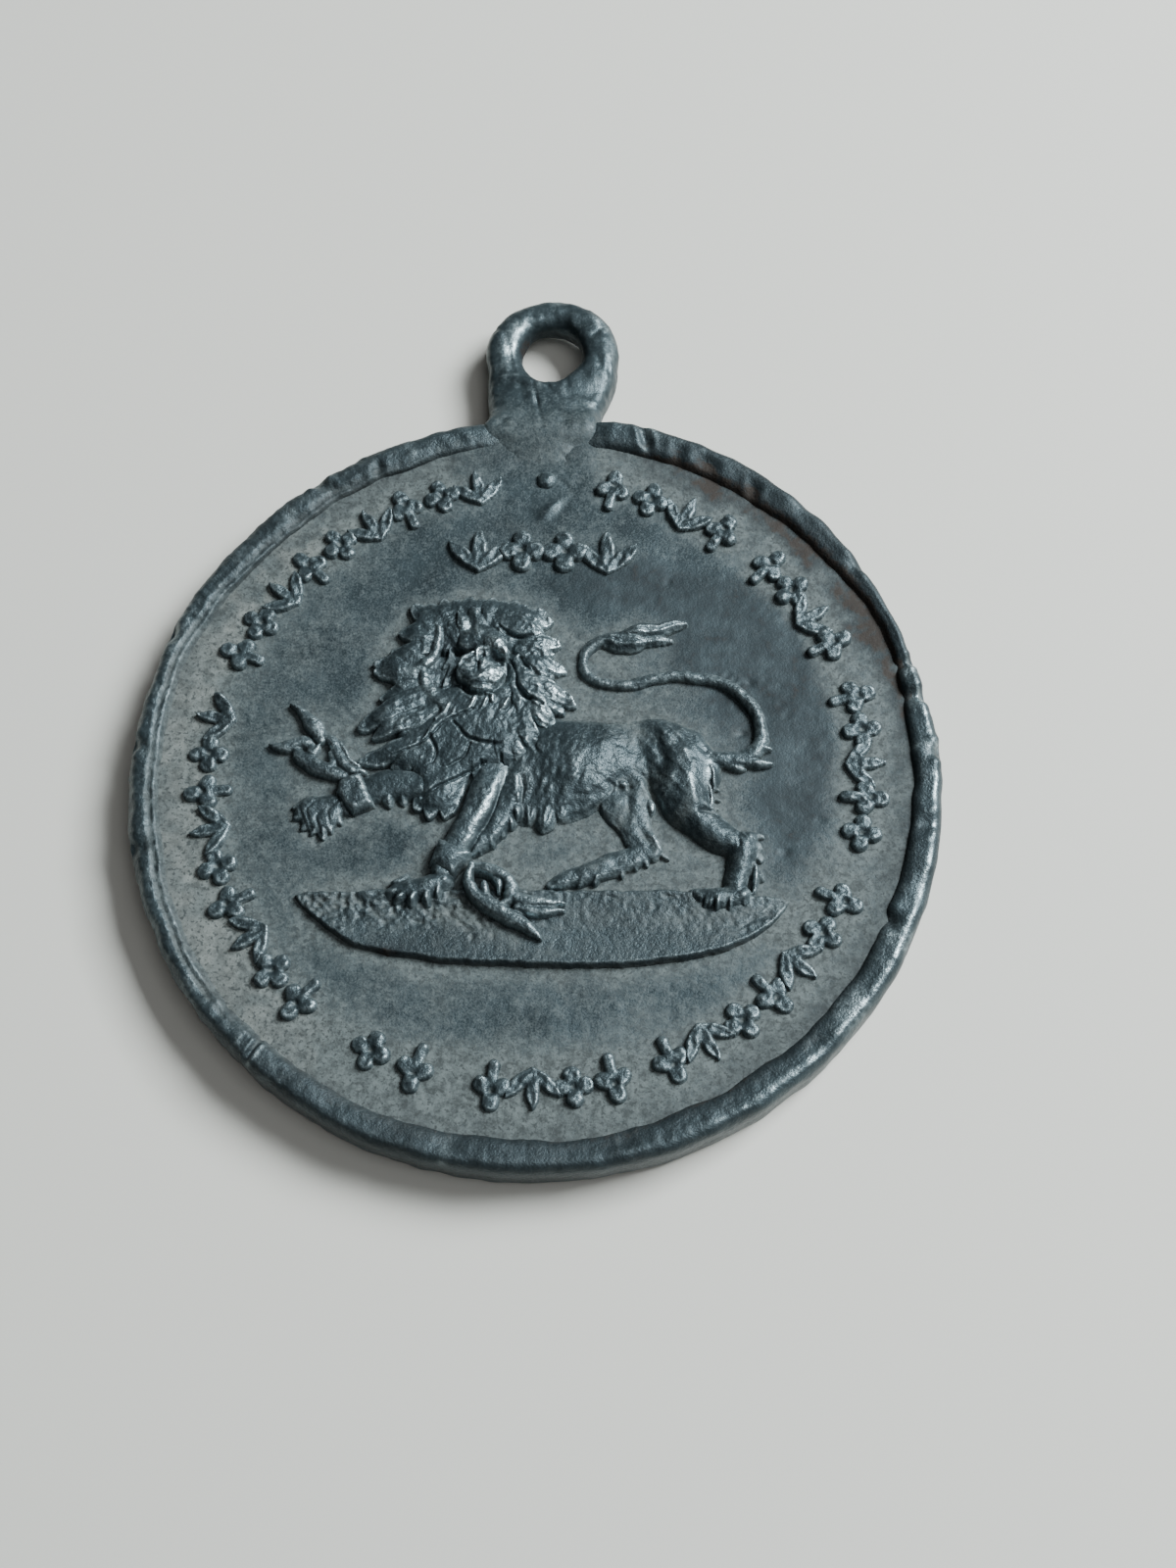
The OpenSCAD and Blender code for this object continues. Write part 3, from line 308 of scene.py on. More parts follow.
LINK = [
    [(-2.3, -4.5, 0.22, 0.72), (-2.42, -5.1, 0.28, 0.82), (-2.15, -5.65, 0.34, 0.84),
     (-1.65, -6.1, 0.4, 0.86), (-1, -6.46, 0.44, 0.86), (-0.3, -6.8, 0.36, 0.84),
     (0.25, -7.2, 0.22, 0.76), (0.5, -7.45, 0.06, 0.66)],
    [(-2.3, -4.6, 0.22, 0.7), (-1.75, -4.62, 0.28, 0.78), (-1.15, -4.85, 0.32, 0.82),
     (-0.76, -5.3, 0.34, 0.82), (-0.75, -5.85, 0.28, 0.78), (-1.1, -6.1, 0.2, 0.74)],
    [(-1.8, -5.2, 0.14, 0.68), (-1.72, -5.7, 0.2, 0.74), (-1.4, -6.1, 0.2, 0.76)],
    [(-1.45, -4.95, 0.14, 0.68), (-1.26, -5.2, 0.18, 0.76), (-1.24, -5.6, 0.1, 0.68)],
    [(-0.8, -5.65, 0.28, 0.78), (-0.1, -5.9, 0.36, 0.78), (0.6, -5.94, 0.26, 0.74),
     (1.3, -5.96, 0.1, 0.64)],
    [(-0.4, -6.2, 0.24, 0.76), (0.4, -6.3, 0.28, 0.72), (1.35, -6.24, 0.1, 0.62)],
]
# Places rubbed bright, partly worn metal and partly painted highlights set where the light glints: x, y,
# radius across, radius up, turn in degrees, strength
RUBBED_GLINT_HEAD = [
    (-4.28, 5.6, 0.18, 0.6, 0, 0.9), (-4.5, 4.5, 0.3, 0.35, 40, 0.9), (-5.1, 3.95, 0.5, 0.3, 0, 0.7),
    (-4.5, 3.2, 0.4, 0.6, 30, 0.8), (-3.9, 2.2, 0.4, 0.6, -30, 0.9), (-6.3, 3.9, 0.3, 0.5, 0, 0.5),
    (-5.7, 1.6, 0.6, 0.25, 30, 0.7), (-5, 1, 0.8, 0.5, 20, 0.35), (-6.2, 2, 0.5, 0.25, 30, 0.5),
    (-1.85, 5.05, 0.4, 0.34, 0, 1.6), (-1.58, 4.75, 0.24, 0.4, 0, 1.6), (-1.8, 3.72, 0.42, 0.42, 0, 1.6),
    (-3, 4.1, 0.3, 0.4, 0, 0.8), (-2.1, 2.75, 0.4, 0.2, -30, 0.9),
    (-2.5, 4.8, 0.25, 0.2, 0, 1.3), (-2.2, 4.2, 0.15, 0.3, 0, 0.4), (-2.4, 3.1, 0.4, 0.1, 0, 1),
    (-2.45, 3.6, 0.3, 0.12, 0, 0.9), (-3.05, 6, 0.2, 0.5, 0, 0.9), (-2.65, 5.9, 0.15, 0.45, 0, 0.8),
    (-3.3, 5.7, 0.15, 0.3, 0, 0.5), (0.05, 6.1, 0.35, 0.6, 0, 1), (0.4, 5.3, 0.4, 0.6, 0, 1),
    (0.75, 4.2, 0.35, 0.5, 0, 1), (0.8, 3.1, 0.6, 0.4, -30, 1), (0.1, 2.15, 0.5, 0.6, 0, 0.9),
    (0.75, 1.5, 0.25, 0.5, 0, 0.8), (-0.15, 3.7, 0.25, 0.5, 40, 0.8), (-0.55, 0.3, 0.35, 0.7, 0, 0.9),
    (-2.65, 2.6, 0.2, 0.4, -30, 0.8), (-1.38, 2.4, 0.2, 0.35, -30, 0.7), (-3.1, -1.2, 0.3, 0.3, 0, 0.5),
    (-1.2, 6.4, 0.9, 0.5, 0, 0.25), (-2.6, 1, 0.4, 0.4, 0, 0.35), (-1.6, -0.3, 0.3, 0.5, 30, 0.6),
]
RUBBED_GLINT_BODY = [
    (-1.34, -0.8, 0.16, 0.8, -25, 1.2), (-1.95, -2.1, 0.16, 1.3, -25, 1.2), (-0.5, -0.6, 0.3, 0.7, 0, 0.7),
    (1.6, 0, 0.5, 0.7, 0, 0.6), (2.4, -0.4, 0.4, 0.5, 0, 0.5), (3.2, 0.3, 0.6, 0.4, 0, 0.3),
    (5.5, 1.2, 0.2, 0.6, -30, 0.7), (5.9, 0.4, 0.24, 0.7, 0, 0.9), (5.4, -0.7, 0.2, 0.5, -35, 0.8),
    (6.95, 0, 0.16, 0.9, -10, 0.9),
    (6.2, -0.9, 0.24, 0.8, 0, 0.8), (7.05, -1.4, 0.16, 0.5, 0, 0.5), (8.8, -3.2, 0.15, 0.35, 0, 0.7),
    (8.6, -4.8, 0.14, 0.8, 0, 0.8), (4.7, -1.7, 0.2, 0.7, 0, 0.7), (4.9, -3.1, 0.25, 0.5, -30, 0.6),
    (3.6, -3.9, 0.5, 0.25, 30, 0.3), (9.35, 3, 0.25, 1.4, 10, 0.8), (8.7, 1.2, 0.4, 0.4, 0, 0.6),
    (4.2, 6, 0.9, 0.3, 10, 0.7), (-4.6, -5, 0.6, 0.3, 0, 0.4), (-2.5, -3.5, 0.2, 0.6, -30, 0.6),
    (-5.2, -0.5, 0.5, 0.3, 0, 0.4), (-8.4, -1.4, 0.4, 0.5, 0, 0.4), (7.6, -5, 0.6, 0.2, 0, 0.2),
]
RUBBED_GLINT_LINKS = [
    (-6.5, -1.4, 0.14, 0.8, 20, 1), (-8.3, 0.4, 0.15, 0.5, 0, 0.6), (-8.9, 1.2, 0.14, 0.6, 25, 0.8),
    (-2.35, -4.2, 0.2, 0.3, 0, 0.6), (-1, -6.3, 0.8, 0.2, -30, 0.4), (0.6, -5.9, 0.9, 0.3, 0, 0.5),
    (-0.75, -5.2, 0.15, 0.4, 0, 0.5), (-1.6, -4.7, 0.4, 0.12, 0, 0.4),
]
# Dusty places on the body's shaded slopes, partly dust and partly painted fill light that lifts their shade:
# x, y, radius across, radius up, turn in degrees, strength
DUST_AND_FILL_BODY = [
    (5, -0.6, 0.5, 1, -30, 0.4), (5.9, -2.2, 0.35, 1.3, -35, 0.6), (7.1, -3.4, 0.3, 1.2, 60, 0.6),
    (7.7, -4.6, 0.2, 1, 0, 0.6), (-2.6, -1.6, 0.3, 1.4, -25, 0.4), (-3.3, -3.2, 0.3, 1, -20, 0.4),
    (3.4, -2.2, 0.5, 0.9, -25, 0.45), (2.6, -4.2, 0.9, 0.3, 15, 0.4), (3.9, 1.4, 1.6, 0.4, 0, 0.3),
]
# The strip of ground: x, y of its upper edge, y of its lower edge, height at the upper edge, at the lower
GROUND = [
    (-9.25, -5.75, -5.85, 0.16, 0.16), (-8.9, -5.6, -6.25, 0.24, 0.3), (-8.5, -5.55, -6.6, 0.28, 0.38),
    (-7.5, -5.5, -7.35, 0.3, 0.46), (-6.3, -5.45, -7.95, 0.32, 0.5), (-4, -5.35, -8.28, 0.34, 0.54),
    (-2, -5.3, -8.42, 0.34, 0.55), (1, -5.25, -8.45, 0.34, 0.55), (3.5, -5.2, -8.38, 0.34, 0.55),
    (5.6, -5.15, -8.1, 0.34, 0.54), (7.6, -5.2, -7.6, 0.32, 0.5), (9, -5.3, -6.85, 0.28, 0.42),
    (9.7, -5.35, -6.2, 0.24, 0.34), (10.15, -5.4, -5.5, 0.16, 0.16),
]
# Cuts and dents of the ground, and soft swellings: x, y, radius across, radius up, turn in degrees, height
GROUND_DENTS = [
    (-3.2, -6.25, 0.3, 0.07, -35, -0.1), (-2.7, -6.75, 0.25, 0.07, -40, -0.1),
    (-2.4, -7.1, 0.2, 0.1, 0, -0.06),
    (-1.8, -6.9, 0.1, 0.07, 0, -0.1), (-6.8, -6.35, 0.3, 0.06, -60, -0.07),
    (-6.2, -6.2, 0.3, 0.06, -60, -0.07),
    (-7.6, -5.9, 0.25, 0.08, -40, -0.08), (-4.3, -6.75, 0.25, 0.08, -20, -0.08),
    (-5.3, -6.5, 0.2, 0.08, 10, -0.07),
    (-2.2, -7.4, 0.08, 0.15, 0, -0.08), (-1.4, -7.3, 0.1, 0.18, 10, -0.06),
    (5.4, -5.5, 0.3, 0.07, -20, -0.07),
    (3.2, -5.6, 0.25, 0.06, -20, -0.06), (9.1, -6, 0.4, 0.06, 40, 0.06), (8.6, -6.4, 0.5, 0.06, 35, -0.06),
    (-7.3, -7.12, 0.09, 0.08, 0, 0.1), (-3.6, -5.95, 0.18, 0.12, 0, 0.08),
    (-2.6, -5.9, 0.2, 0.08, 10, -0.08),
]
# Dusty places of the ground, and rubbed places that are partly wear and partly painted highlights where the
# light glints: x, y, radius across, radius up, turn in degrees, strength
GROUND_DUST = [(7.4, -6.1, 1.5, 0.4, 0, 0.35), (-4, -6.1, 3, 0.5, 0, 0.3)]
GROUND_RUBBED_GLINT = [(9.4, -5.9, 0.7, 0.5, 0, 0.6), (-3.4, -6.3, 1.6, 0.5, 0, 0.4)]
# Border groups, clockwise from the top: angle in degrees of the first mark, of the last, number of marks
BORDER_GROUPS = [
    (12, 34, 4), (45, 64, 4), (75, 101, 5), (114, 155, 7), (165, 185, 4), (198, 206, 2),
    (221, 278, 9), (291, 347, 9),
]
# The marks: radius of their ring, size, and height above the field
MARK_R = 13.25
MARK_SIZE = 1.65
MARK_H = 0.26
# How full a mark's strips are across, and the share of their height that is a steep wall
MARK_SECTION = (4, 0.6)
# The row above the lion: x and kind of each of its marks, y of the row and size of the marks
ROW_X = (-2.8, -1, 0.8, 2.6)
ROW_KINDS = (2, 1, 1, 2)
ROW_Y = 9.9
ROW_SIZE = 2.0
# The small pellet by the loop: place and radius
PELLET_AT = (-0.1, 13.4)
PELLET_R = 0.44
# The disc: radius, points round it, and rings of points on its face and on its back
DISC_R = 15.62
DISC_AROUND = 620
FACE_RINGS = 104
BACK_RINGS = 26
# Scratches of the field: x and y of each end, half width, depth
SCRATCHES = [
    (-8.4, 2.75, -7.55, 1.95, 0.04, 0.05), (3.2, 3.25, 3.22, 2.6, 0.04, 0.06),
    (0.36, 14.9, 0.8, 14.35, 0.06, 0.07), (0.41, 13.5, 1, 12.9, 0.06, 0.08),
    (1.4, 14.85, 1.65, 14.25, 0.05, 0.04), (7.6, 4.4, 8.3, 3.9, 0.05, 0.04),
    (-5.5, -11, -4.6, -11.4, 0.03, 0.03), (9.6, 3.5, 10.4, 2.2, 0.03, 0.03),
]
# Pits of the field: x, y, radius, depth
PITS = [
    (8.6, 4, 0.16, 0.1), (8.3, 1.7, 0.12, 0.12), (10, -3.4, 0.14, 0.1), (-8.6, -3.5, 0.14, 0.07),
    (-4.9, -2.6, 0.12, 0.05), (10.2, 7, 0.12, 0.06), (2, -9.6, 0.1, 0.05), (-9.5, 7.5, 0.12, 0.05),
    (11.4, -2, 0.1, 0.06), (-11.5, 2, 0.1, 0.06), (5.2, 8.6, 0.12, 0.05), (-6.5, 9, 0.1, 0.05),
]
# Middle of a small slanting ridge under the loop
RIDGE_AT = (0.15, 12)
# The square map of what covers the field: side of a cell, half the map's side, and cells along a side
MAP_STEP = 0.1
MAP_HALF = 17.0
MAP_CELLS = 340
# Darker, handled patches of the field: x, y, radius across, radius up, turn in degrees, strength
DARK_PATCHES = [
    (9, 5.2, 2.9, 3.8, -20, 1.6), (-6.5, -2.6, 2.6, 3.4, 0, 0.6), (-7.8, 4.2, 2.2, 2.6, 0, 0.5),
    (10.4, 0.4, 2, 3.8, 0, 1.4), (3, 8.6, 4.4, 1.6, -10, 1.3), (0, -10.6, 5.5, 1.6, 0, 0.55),
    (-4.5, 9.2, 3, 1.6, 30, 0.6), (7.5, -9.3, 2.5, 1.6, 30, 0.4), (10, -4, 1.4, 2, 0, 0.45),
    (-9.8, -1, 1.6, 4, 0, 0.4), (6, 5.4, 2, 1.4, 0, 0.5), (-8.2, -9, 2, 1.6, 0, 0.3),
]
# The rim: radii of its plain section, radius that turns its angles into lengths, points round and across it
RIM_INNER = 15.1
RIM_OUTER = 16.5
RIM_MIDDLE = 16
RIM_AROUND = 1500
RIM_ACROSS = 64
# The plain section: distance from the inner radius and height, then distance from the outer radius and height
INNER_SLOPE = [
    (-0.3, 1.6), (-0.06, 1.9), (0.02, 2.02), (0.05, 2.14), (0.1, 2.26), (0.18, 2.36), (0.3, 2.43),
    (0.42, 2.46), (0.7, 2.48),
]
OUTER_WALL = [
    (-0.5, 2.5), (-0.4, 2.5), (-0.3, 2.47), (-0.2, 2.4), (-0.12, 2.3), (-0.06, 2.18), (-0.02, 2.02),
    (0, 1.85), (0.01, 1.6), (0, 1.3), (-0.01, 1), (-0.02, 0.75), (-0.03, 0.5), (-0.07, 0.34),
    (-0.14, 0.2), (-0.24, 0.09), (-0.36, 0.03), (-0.5, 0), (-0.8, 0), (-1.1, 0), (-1.35, 0),
    (-1.44, 0.06), (-1.52, 0.18), (-1.6, 0.4), (-1.6, 1),
]
# The rim's worn edges: angle in degrees, outer radius, inner radius
RIM_SHAPE = [
    (-180, 16.42, 15.2), (-150, 16.45, 15.42), (-120, 16.5, 15.2), (-90, 16.5, 15.15), (-60, 16.5, 15.1),
    (-30, 16.45, 15.1), (-12, 16.4, 15), (0, 16.35, 15.05), (10, 16.2, 15.1), (20, 16.15, 15.35),
    (27, 16.25, 15.4), (40, 16.45, 15.2), (60, 16.6, 15.15), (75, 16.7, 15.15), (84, 16.62, 15.15),
    (100, 16.5, 15.1), (119, 16.45, 15), (145, 16.45, 15), (165, 16.42, 15.35), (180, 16.42, 15.2),
]
# Dents of the rim: angle in degrees, radius, half width along the rim, half width across, slant, depth
RIM_DENTS = [
    (18.4, 16, 0.22, 0.9, 0.1, 0.2), (12.6, 16, 0.28, 0.8, -0.15, 0.2), (15.4, 15.9, 0.5, 0.8, 0, -0.1),
    (3.8, 16.3, 0.3, 0.5, 0.3, 0.22), (75.2, 16, 0.25, 0.5, 0.5, 0.22), (69.5, 15.7, 0.3, 0.5, 0.1, 0.1),
    (64.5, 15.8, 0.5, 0.3, 0.2, 0.14), (127.2, 16.1, 0.3, 0.4, 0.4, 0.2), (134, 15.4, 0.4, 0.3, 0.4, 0.12),
    (118.3, 15.5, 0.25, 0.3, -0.3, 0.14), (112, 16.1, 0.6, 0.3, 0.2, 0.08),
    (105, 15.9, 0.3, 0.5, 0.3, 0.08),
    (-24, 15.3, 0.35, 0.3, 0, 0.22), (-130.5, 15.8, 0.12, 0.6, 0.2, 0.18), (-142, 15.9, 0.5, 0.4, 0, 0.12),
    (178, 16.1, 0.3, 0.4, 0, 0.14), (-166, 16.1, 0.35, 0.4, 0, 0.16), (160, 16.3, 0.4, 0.4, 0, 0.16),
    (-45, 15.9, 0.6, 0.4, 0.1, 0.1), (-75, 15.6, 0.8, 0.3, 0, 0.1), (-100, 15.7, 0.5, 0.4, 0, 0.1),
    (48, 16.2, 0.5, 0.4, 0.2, 0.12), (36, 16.1, 0.4, 0.3, -0.2, 0.14), (56, 15.6, 0.3, 0.4, 0.3, 0.14),
    (92, 15.9, 0.8, 0.4, 0, 0.1), (-8, 15.8, 0.4, 0.5, 0.2, 0.14), (-17, 16.2, 0.5, 0.4, 0, 0.1),
]
# Bruises of the rim, bare metal that is partly real and partly painted highlight where it glints: angle in
# degrees, width in degrees, strength
RIM_BRUISE_GLINTS = [
    (17, 1, 0.9), (12, 0.9, 0.7), (4.5, 0.7, 0.7), (-26, 1.6, 0.6), (74.6, 0.5, 0.9), (127, 0.9, 0.6),
    (133.6, 0.6, 0.6), (-129.6, 0.4, 0.5), (160, 3, 0.3), (-38, 3, 0.4), (-100, 0.6, 0.4), (112, 0.7, 0.4),
]
# How far the rim's top leans: angle in degrees, drop at its inner edge, drop at its outer edge
RIM_LEAN = [
    (-180, 0, 0.3), (-150, 0.02, 0.3), (-125, 0.1, 0.12), (-100, 0.2, 0), (-70, 0.24, 0),
    (-40, 0.2, 0.04), (-10, 0.14, 0.1), (10, 0.16, 0.06), (25, 0.14, 0), (75, 0.14, 0), (80.5, 0.14, 0.04),
    (84, 0.36, 0.36), (97, 0.36, 0.36), (105, 0.1, 0.1), (115, 0.08, 0.14), (140, 0, 0.24), (180, 0, 0.3),
]
# Middle of the loop's wire ring, and height of the wire's middle
LOOP_AT = (-0.06, 20.2, 1.22)
# The loop's wire: angle in degrees, radius of its middle, half width, half thickness
WIRE = [
    (-180, 2.12, 0.88, 0.84), (-140, 2.1, 0.9, 0.8), (-90, 2.1, 0.8, 0.74), (-40, 2.1, 0.84, 0.76),
    (0, 2.08, 0.8, 0.8), (40, 2.08, 0.78, 0.78), (80, 2.06, 0.68, 0.74), (100, 2.06, 0.68, 0.74),
    (130, 2.08, 0.8, 0.8), (160, 2.12, 0.88, 0.84), (180, 2.12, 0.88, 0.84),
]
# Middle of the loop's hole, a little off the ring's, then the hole's edge: angle in degrees, radius
HOLE_AT = (-0.2, 20.15)
HOLE = [
    (-180, 1.2), (-150, 1.26), (-110, 1.36), (-60, 1.36), (-20, 1.3), (20, 1.26), (60, 1.38),
    (100, 1.36), (130, 1.32), (150, 1.22), (180, 1.2),
]
# The neck: y, x of its left edge, x of its right edge
NECK = [
    (13.4, -3, 2.1), (14.8, -3.3, 2.2), (15.4, -3.3, 2.2), (16, -3.05, 2.16), (16.5, -2.75, 2.12),
    (17.2, -2.72, 2.14), (18, -2.84, 2.45), (18.8, -2.9, 2.72), (19.6, -2.7, 2.7), (20.4, -1.2, 1.2),
]
# Top of the neck and its solder along the middle: y, height
FOOT = [
    (13.4, 1.86), (14, 1.97), (14.6, 2.11), (15.1, 2.26), (15.5, 2.4), (16, 2.46), (16.4, 2.4),
    (17.2, 2.16), (18.2, 2.02), (19.2, 1.96), (20.4, 1.9),
]
# Dents and seams of the loop and its solder: x, y, radius across, radius up, turn in degrees, depth
LOOP_DENTS = [
    (-0.62, 17.2, 0.07, 0.8, 12, 0.09), (-2.1, 16.15, 0.3, 0.14, 20, 0.12),
    (2.1, 16.25, 0.14, 0.35, 0, 0.1),
    (2.5, 17.9, 0.3, 0.12, -30, 0.08), (-1.5, 18.3, 0.5, 0.1, -20, 0.05), (-0.2, 18.2, 0.1, 0.3, 30, 0.08),
    (0.6, 18.4, 0.12, 0.25, 0, 0.06), (-3.2, 15.7, 0.3, 0.12, 20, 0.1), (1, 14.9, 0.12, 0.4, -15, 0.07),
    (0.58, 14.65, 0.07, 0.35, 40, 0.05), (-1.8, 14.6, 0.3, 0.12, 10, 0.05), (2, 19.6, 0.12, 0.4, 20, 0.07),
    (-1.9, 19.6, 0.12, 0.5, 10, 0.08), (-1.2, 21.6, 0.2, 0.14, 30, 0.08), (1.9, 21.2, 0.12, 0.3, -40, 0.07),
    (0.6, 22.2, 0.3, 0.1, 0, 0.05), (-2.4, 18.9, 0.2, 0.3, 0, 0.06), (2.45, 19.2, 0.12, 0.4, 10, 0.07),
]
# Places of the loop rubbed bright, partly wear and partly painted highlights where the light glints: x, y,
# radius across, radius up, turn in degrees, strength
RUBBED_GLINT_LOOP = [
    (-1.85, 20.6, 0.35, 1, -25, 1), (-2.2, 19.3, 0.4, 0.25, 20, 0.8), (2.5, 18.5, 0.14, 0.6, -25, 1),
    (2.62, 20.2, 0.12, 1.1, 0, 1), (2.1, 21.6, 0.2, 0.5, 40, 0.9), (-0.6, 18.3, 0.1, 0.2, 0, 0.7),
    (0.3, 22.7, 0.8, 0.1, 0, 0.4), (-1.9, 18.75, 0.4, 0.08, 0, 0.6), (-0.1, 18.7, 0.08, 0.2, 20, 0.6),
]
# The grid that the loop is cut from: side of a cell, its lowest corner, and points along each side
LOOP_STEP = 0.072
LOOP_GRID_FROM = (-4.2, 13.3, 0.1)
LOOP_GRID_COUNT = (112, 144, 40)
# Linear colours of the metal, of its dust and of its stain (also used as painted shade), from low to high
DARK_METAL = (0.03, 0.041, 0.045)
PALE_METAL = (0.48, 0.58, 0.6)
DUST = (0.08, 0.094, 0.092)
CAKED = (0.165, 0.178, 0.166)
FILM_AND_SHADE = (0.0125, 0.0155, 0.017)
STAIN_AND_SHADE = (0.029, 0.0235, 0.0195)
# Scales of noise per metre: the cast grain's from fine to broad, then the dust's and its flecks'
GRAIN_SCALES = (11000, 3600, 500)
GRIME_SCALE = 2600
FLECK_SCALE = 6400
FLOOR_COLOUR = (0.56, 0.54, 0.49)
# Half the side of the floor, in metres
FLOOR_HALF = 1.2
# Light of the room from the left and from the right
ROOM_LEFT = (0.05, 0.049, 0.047)
ROOM_RIGHT = (1.0, 1.08, 1.14)
# Area lights: name, place, size across, size up, watts, colour
LIGHTS = [
    ("window", (205, 110, 232), 165, 140, 3.15, (0.88, 0.96, 1.0)),
    ("ceiling", (80, -80, 330), 200, 200, 0.3, (0.93, 0.97, 1.0)),
]


# Noise and curves
SEEDS = 12
LATTICES = [np.random.default_rng(seed).random((128, 128)) * 2 - 1 for seed in range(SEEDS)]


def between(table, gx, gy, smooth=False):
    """A square table's value between its cells. The table repeats past its edges."""
    ix, iy = np.floor(gx).astype(int), np.floor(gy).astype(int)
    fx, fy = gx - ix, gy - iy
    if smooth:
        fx, fy = fx * fx * (3 - 2 * fx), fy * fy * (3 - 2 * fy)
    n = len(table)
    ix, iy, jx, jy = ix % n, iy % n, (ix + 1) % n, (iy + 1) % n
    low = table[ix, iy] * (1 - fx) + table[jx, iy] * fx
    high = table[ix, jy] * (1 - fx) + table[jx, jy] * fx
    return low * (1 - fy) + high * fy


def noise(x, y, size, seed):
    """Smooth noise from -1 to 1 with features of a size in millimetres."""
    return between(LATTICES[seed % SEEDS], x / size, y / size, True)


def rough(x, y, size, seed, octaves=3):
    """Noise at a size and at its halves."""
    total = np.zeros(np.broadcast(x, y).shape)
    for k in range(octaves):
        total += noise(x + 3.7 * k, y - 5.1 * k, size / 2**k, seed + k) / 2**k
    return total


def rough3(x, y, z, size, seed):
    """Noise in space, from three slanted planes of noise."""
    a = rough(x + 0.31 * z, y - 0.27 * z, size, seed, 2)
    b = rough(y + 0.23 * x + 7, z + 0.19 * x, size, seed + 1, 2)
    c = rough(z - 0.29 * y + 3, x + 0.17 * y, size, seed + 2, 2)
    return (a + b + c) / 2


def creased(x, y, size, seed):
    """Noise with sharp creases, as in chased or beaten metal."""
    return 0.5 - np.abs(noise(x, y, size, seed)) - 0.6 * np.abs(noise(x, y, size * 0.45, seed + 1))


def ease(low, high, value):
    """Smooth step from 0 at low to 1 at high."""
    t = np.clip((value - low) / (high - low), 0, 1)
    return t * t * (3 - 2 * t)


def curve(rows, gap=0.1):
    """Points along a smooth curve through rows of numbers, the first two of which are x and y."""
    r = np.array(rows, float)
    r = np.vstack([2 * r[0] - r[1], r, 2 * r[-1] - r[-2]])
    out = []
    for i in range(1, len(r) - 2):
        p0, p1, p2, p3 = r[i - 1 : i + 3]
        n = max(2, int(np.ceil(np.hypot(*(p2 - p1)[:2]) / gap)))
        t = (np.arange(n) / n)[:, None]
        bend = (2 * p0 - 5 * p1 + 4 * p2 - p3) * t**2 + (3 * p1 - p0 - 3 * p2 + p3) * t**3
        out.append(p1 + 0.5 * ((p2 - p0) * t + bend))
    out.append(r[-2:-1])
    return np.vstack(out)


def columns(rows, at):
    """The columns of a table after its first, each read at places along the first."""
    table = np.array(rows, float)
    return [np.interp(at, table[:, 0], column) for column in table.T[1:]]


def blurred(a, sigma):
    """A map blurred by a Gaussian of sigma cells."""
    n = int(3 * sigma) + 1
    weights = np.exp(-0.5 * (np.arange(-n, n + 1) / sigma) ** 2)
    weights /= weights.sum()
    for axis in (0, 1):
        wide = np.pad(a, [(n, n) if k == axis else (0, 0) for k in (0, 1)], mode="edge")
        a = sum(w * np.take(wide, range(k, k + a.shape[axis]), axis) for k, w in enumerate(weights))
    return a


def oval(x, y, px, py, rx, ry, turn=0):
    """A soft oval spot, 1 in its middle: place, radius across, radius up, turn in degrees."""
    c, s = math.cos(math.radians(turn)), math.sin(math.radians(turn))
    u, v = (x - px) * c + (y - py) * s, (y - py) * c - (x - px) * s
    return np.exp(-((u / rx) ** 2) - (v / ry) ** 2)


def spots(x, y, rows, join=np.maximum):
    """Soft oval spots, as the highest or the sum of a table's rows: those of an oval, then its strength."""
    value = np.zeros(x.shape)
    for *place, strength in rows:
        value = join(value, strength * oval(x, y, *place))
    return value


def off_segment(x, y, a, b):
    """How far along a segment its nearest place lies, from 0 to 1, and the way from there."""
    d = b - a
    t = np.clip(((x - a[0]) * d[0] + (y - a[1]) * d[1]) / max(d @ d, 1e-9), 0, 1)
    return t, x - a[0] - t * d[0], y - a[1] - t * d[1]


def edge_distance(x, y, points):
    """Distance to the edge of an outline, positive inside it."""
    far, inside = np.full(x.shape, FAR), np.zeros(x.shape, bool)
    for a, b in zip(points, np.roll(points, -1, 0)):
        _, ex, ey = off_segment(x, y, a, b)
        far = np.minimum(far, np.hypot(ex, ey))
        if a[1] != b[1]:
            crosses = (a[1] > y) != (b[1] > y)
            inside ^= crosses & (x < a[0] + (y - a[1]) * (b[0] - a[0]) / (b[1] - a[1]))
    return np.where(inside, far, -far)


def soft_min(a, b, k):
    """The lower of two values, rounded off where they meet."""
    near = np.clip(1 - np.abs(a - b) / k, 0, 1)
    return np.minimum(a, b) - near * near * k / 4


def soft_max(a, b, k):
    """The higher of two values, rounded off where they meet."""
    return -soft_min(-a, -b, k)


# Height fields
def profile(u, power, wall):
    """Height across a strip: 1 in the middle, a short wall at u = 1, and below the field outside it."""
    inside = (1 - wall) * (1 - np.clip(u, 0, 1) ** power) + wall * ease(1, 0.86, u)
    return np.where(u < 1, inside, -6 * (u - 1))


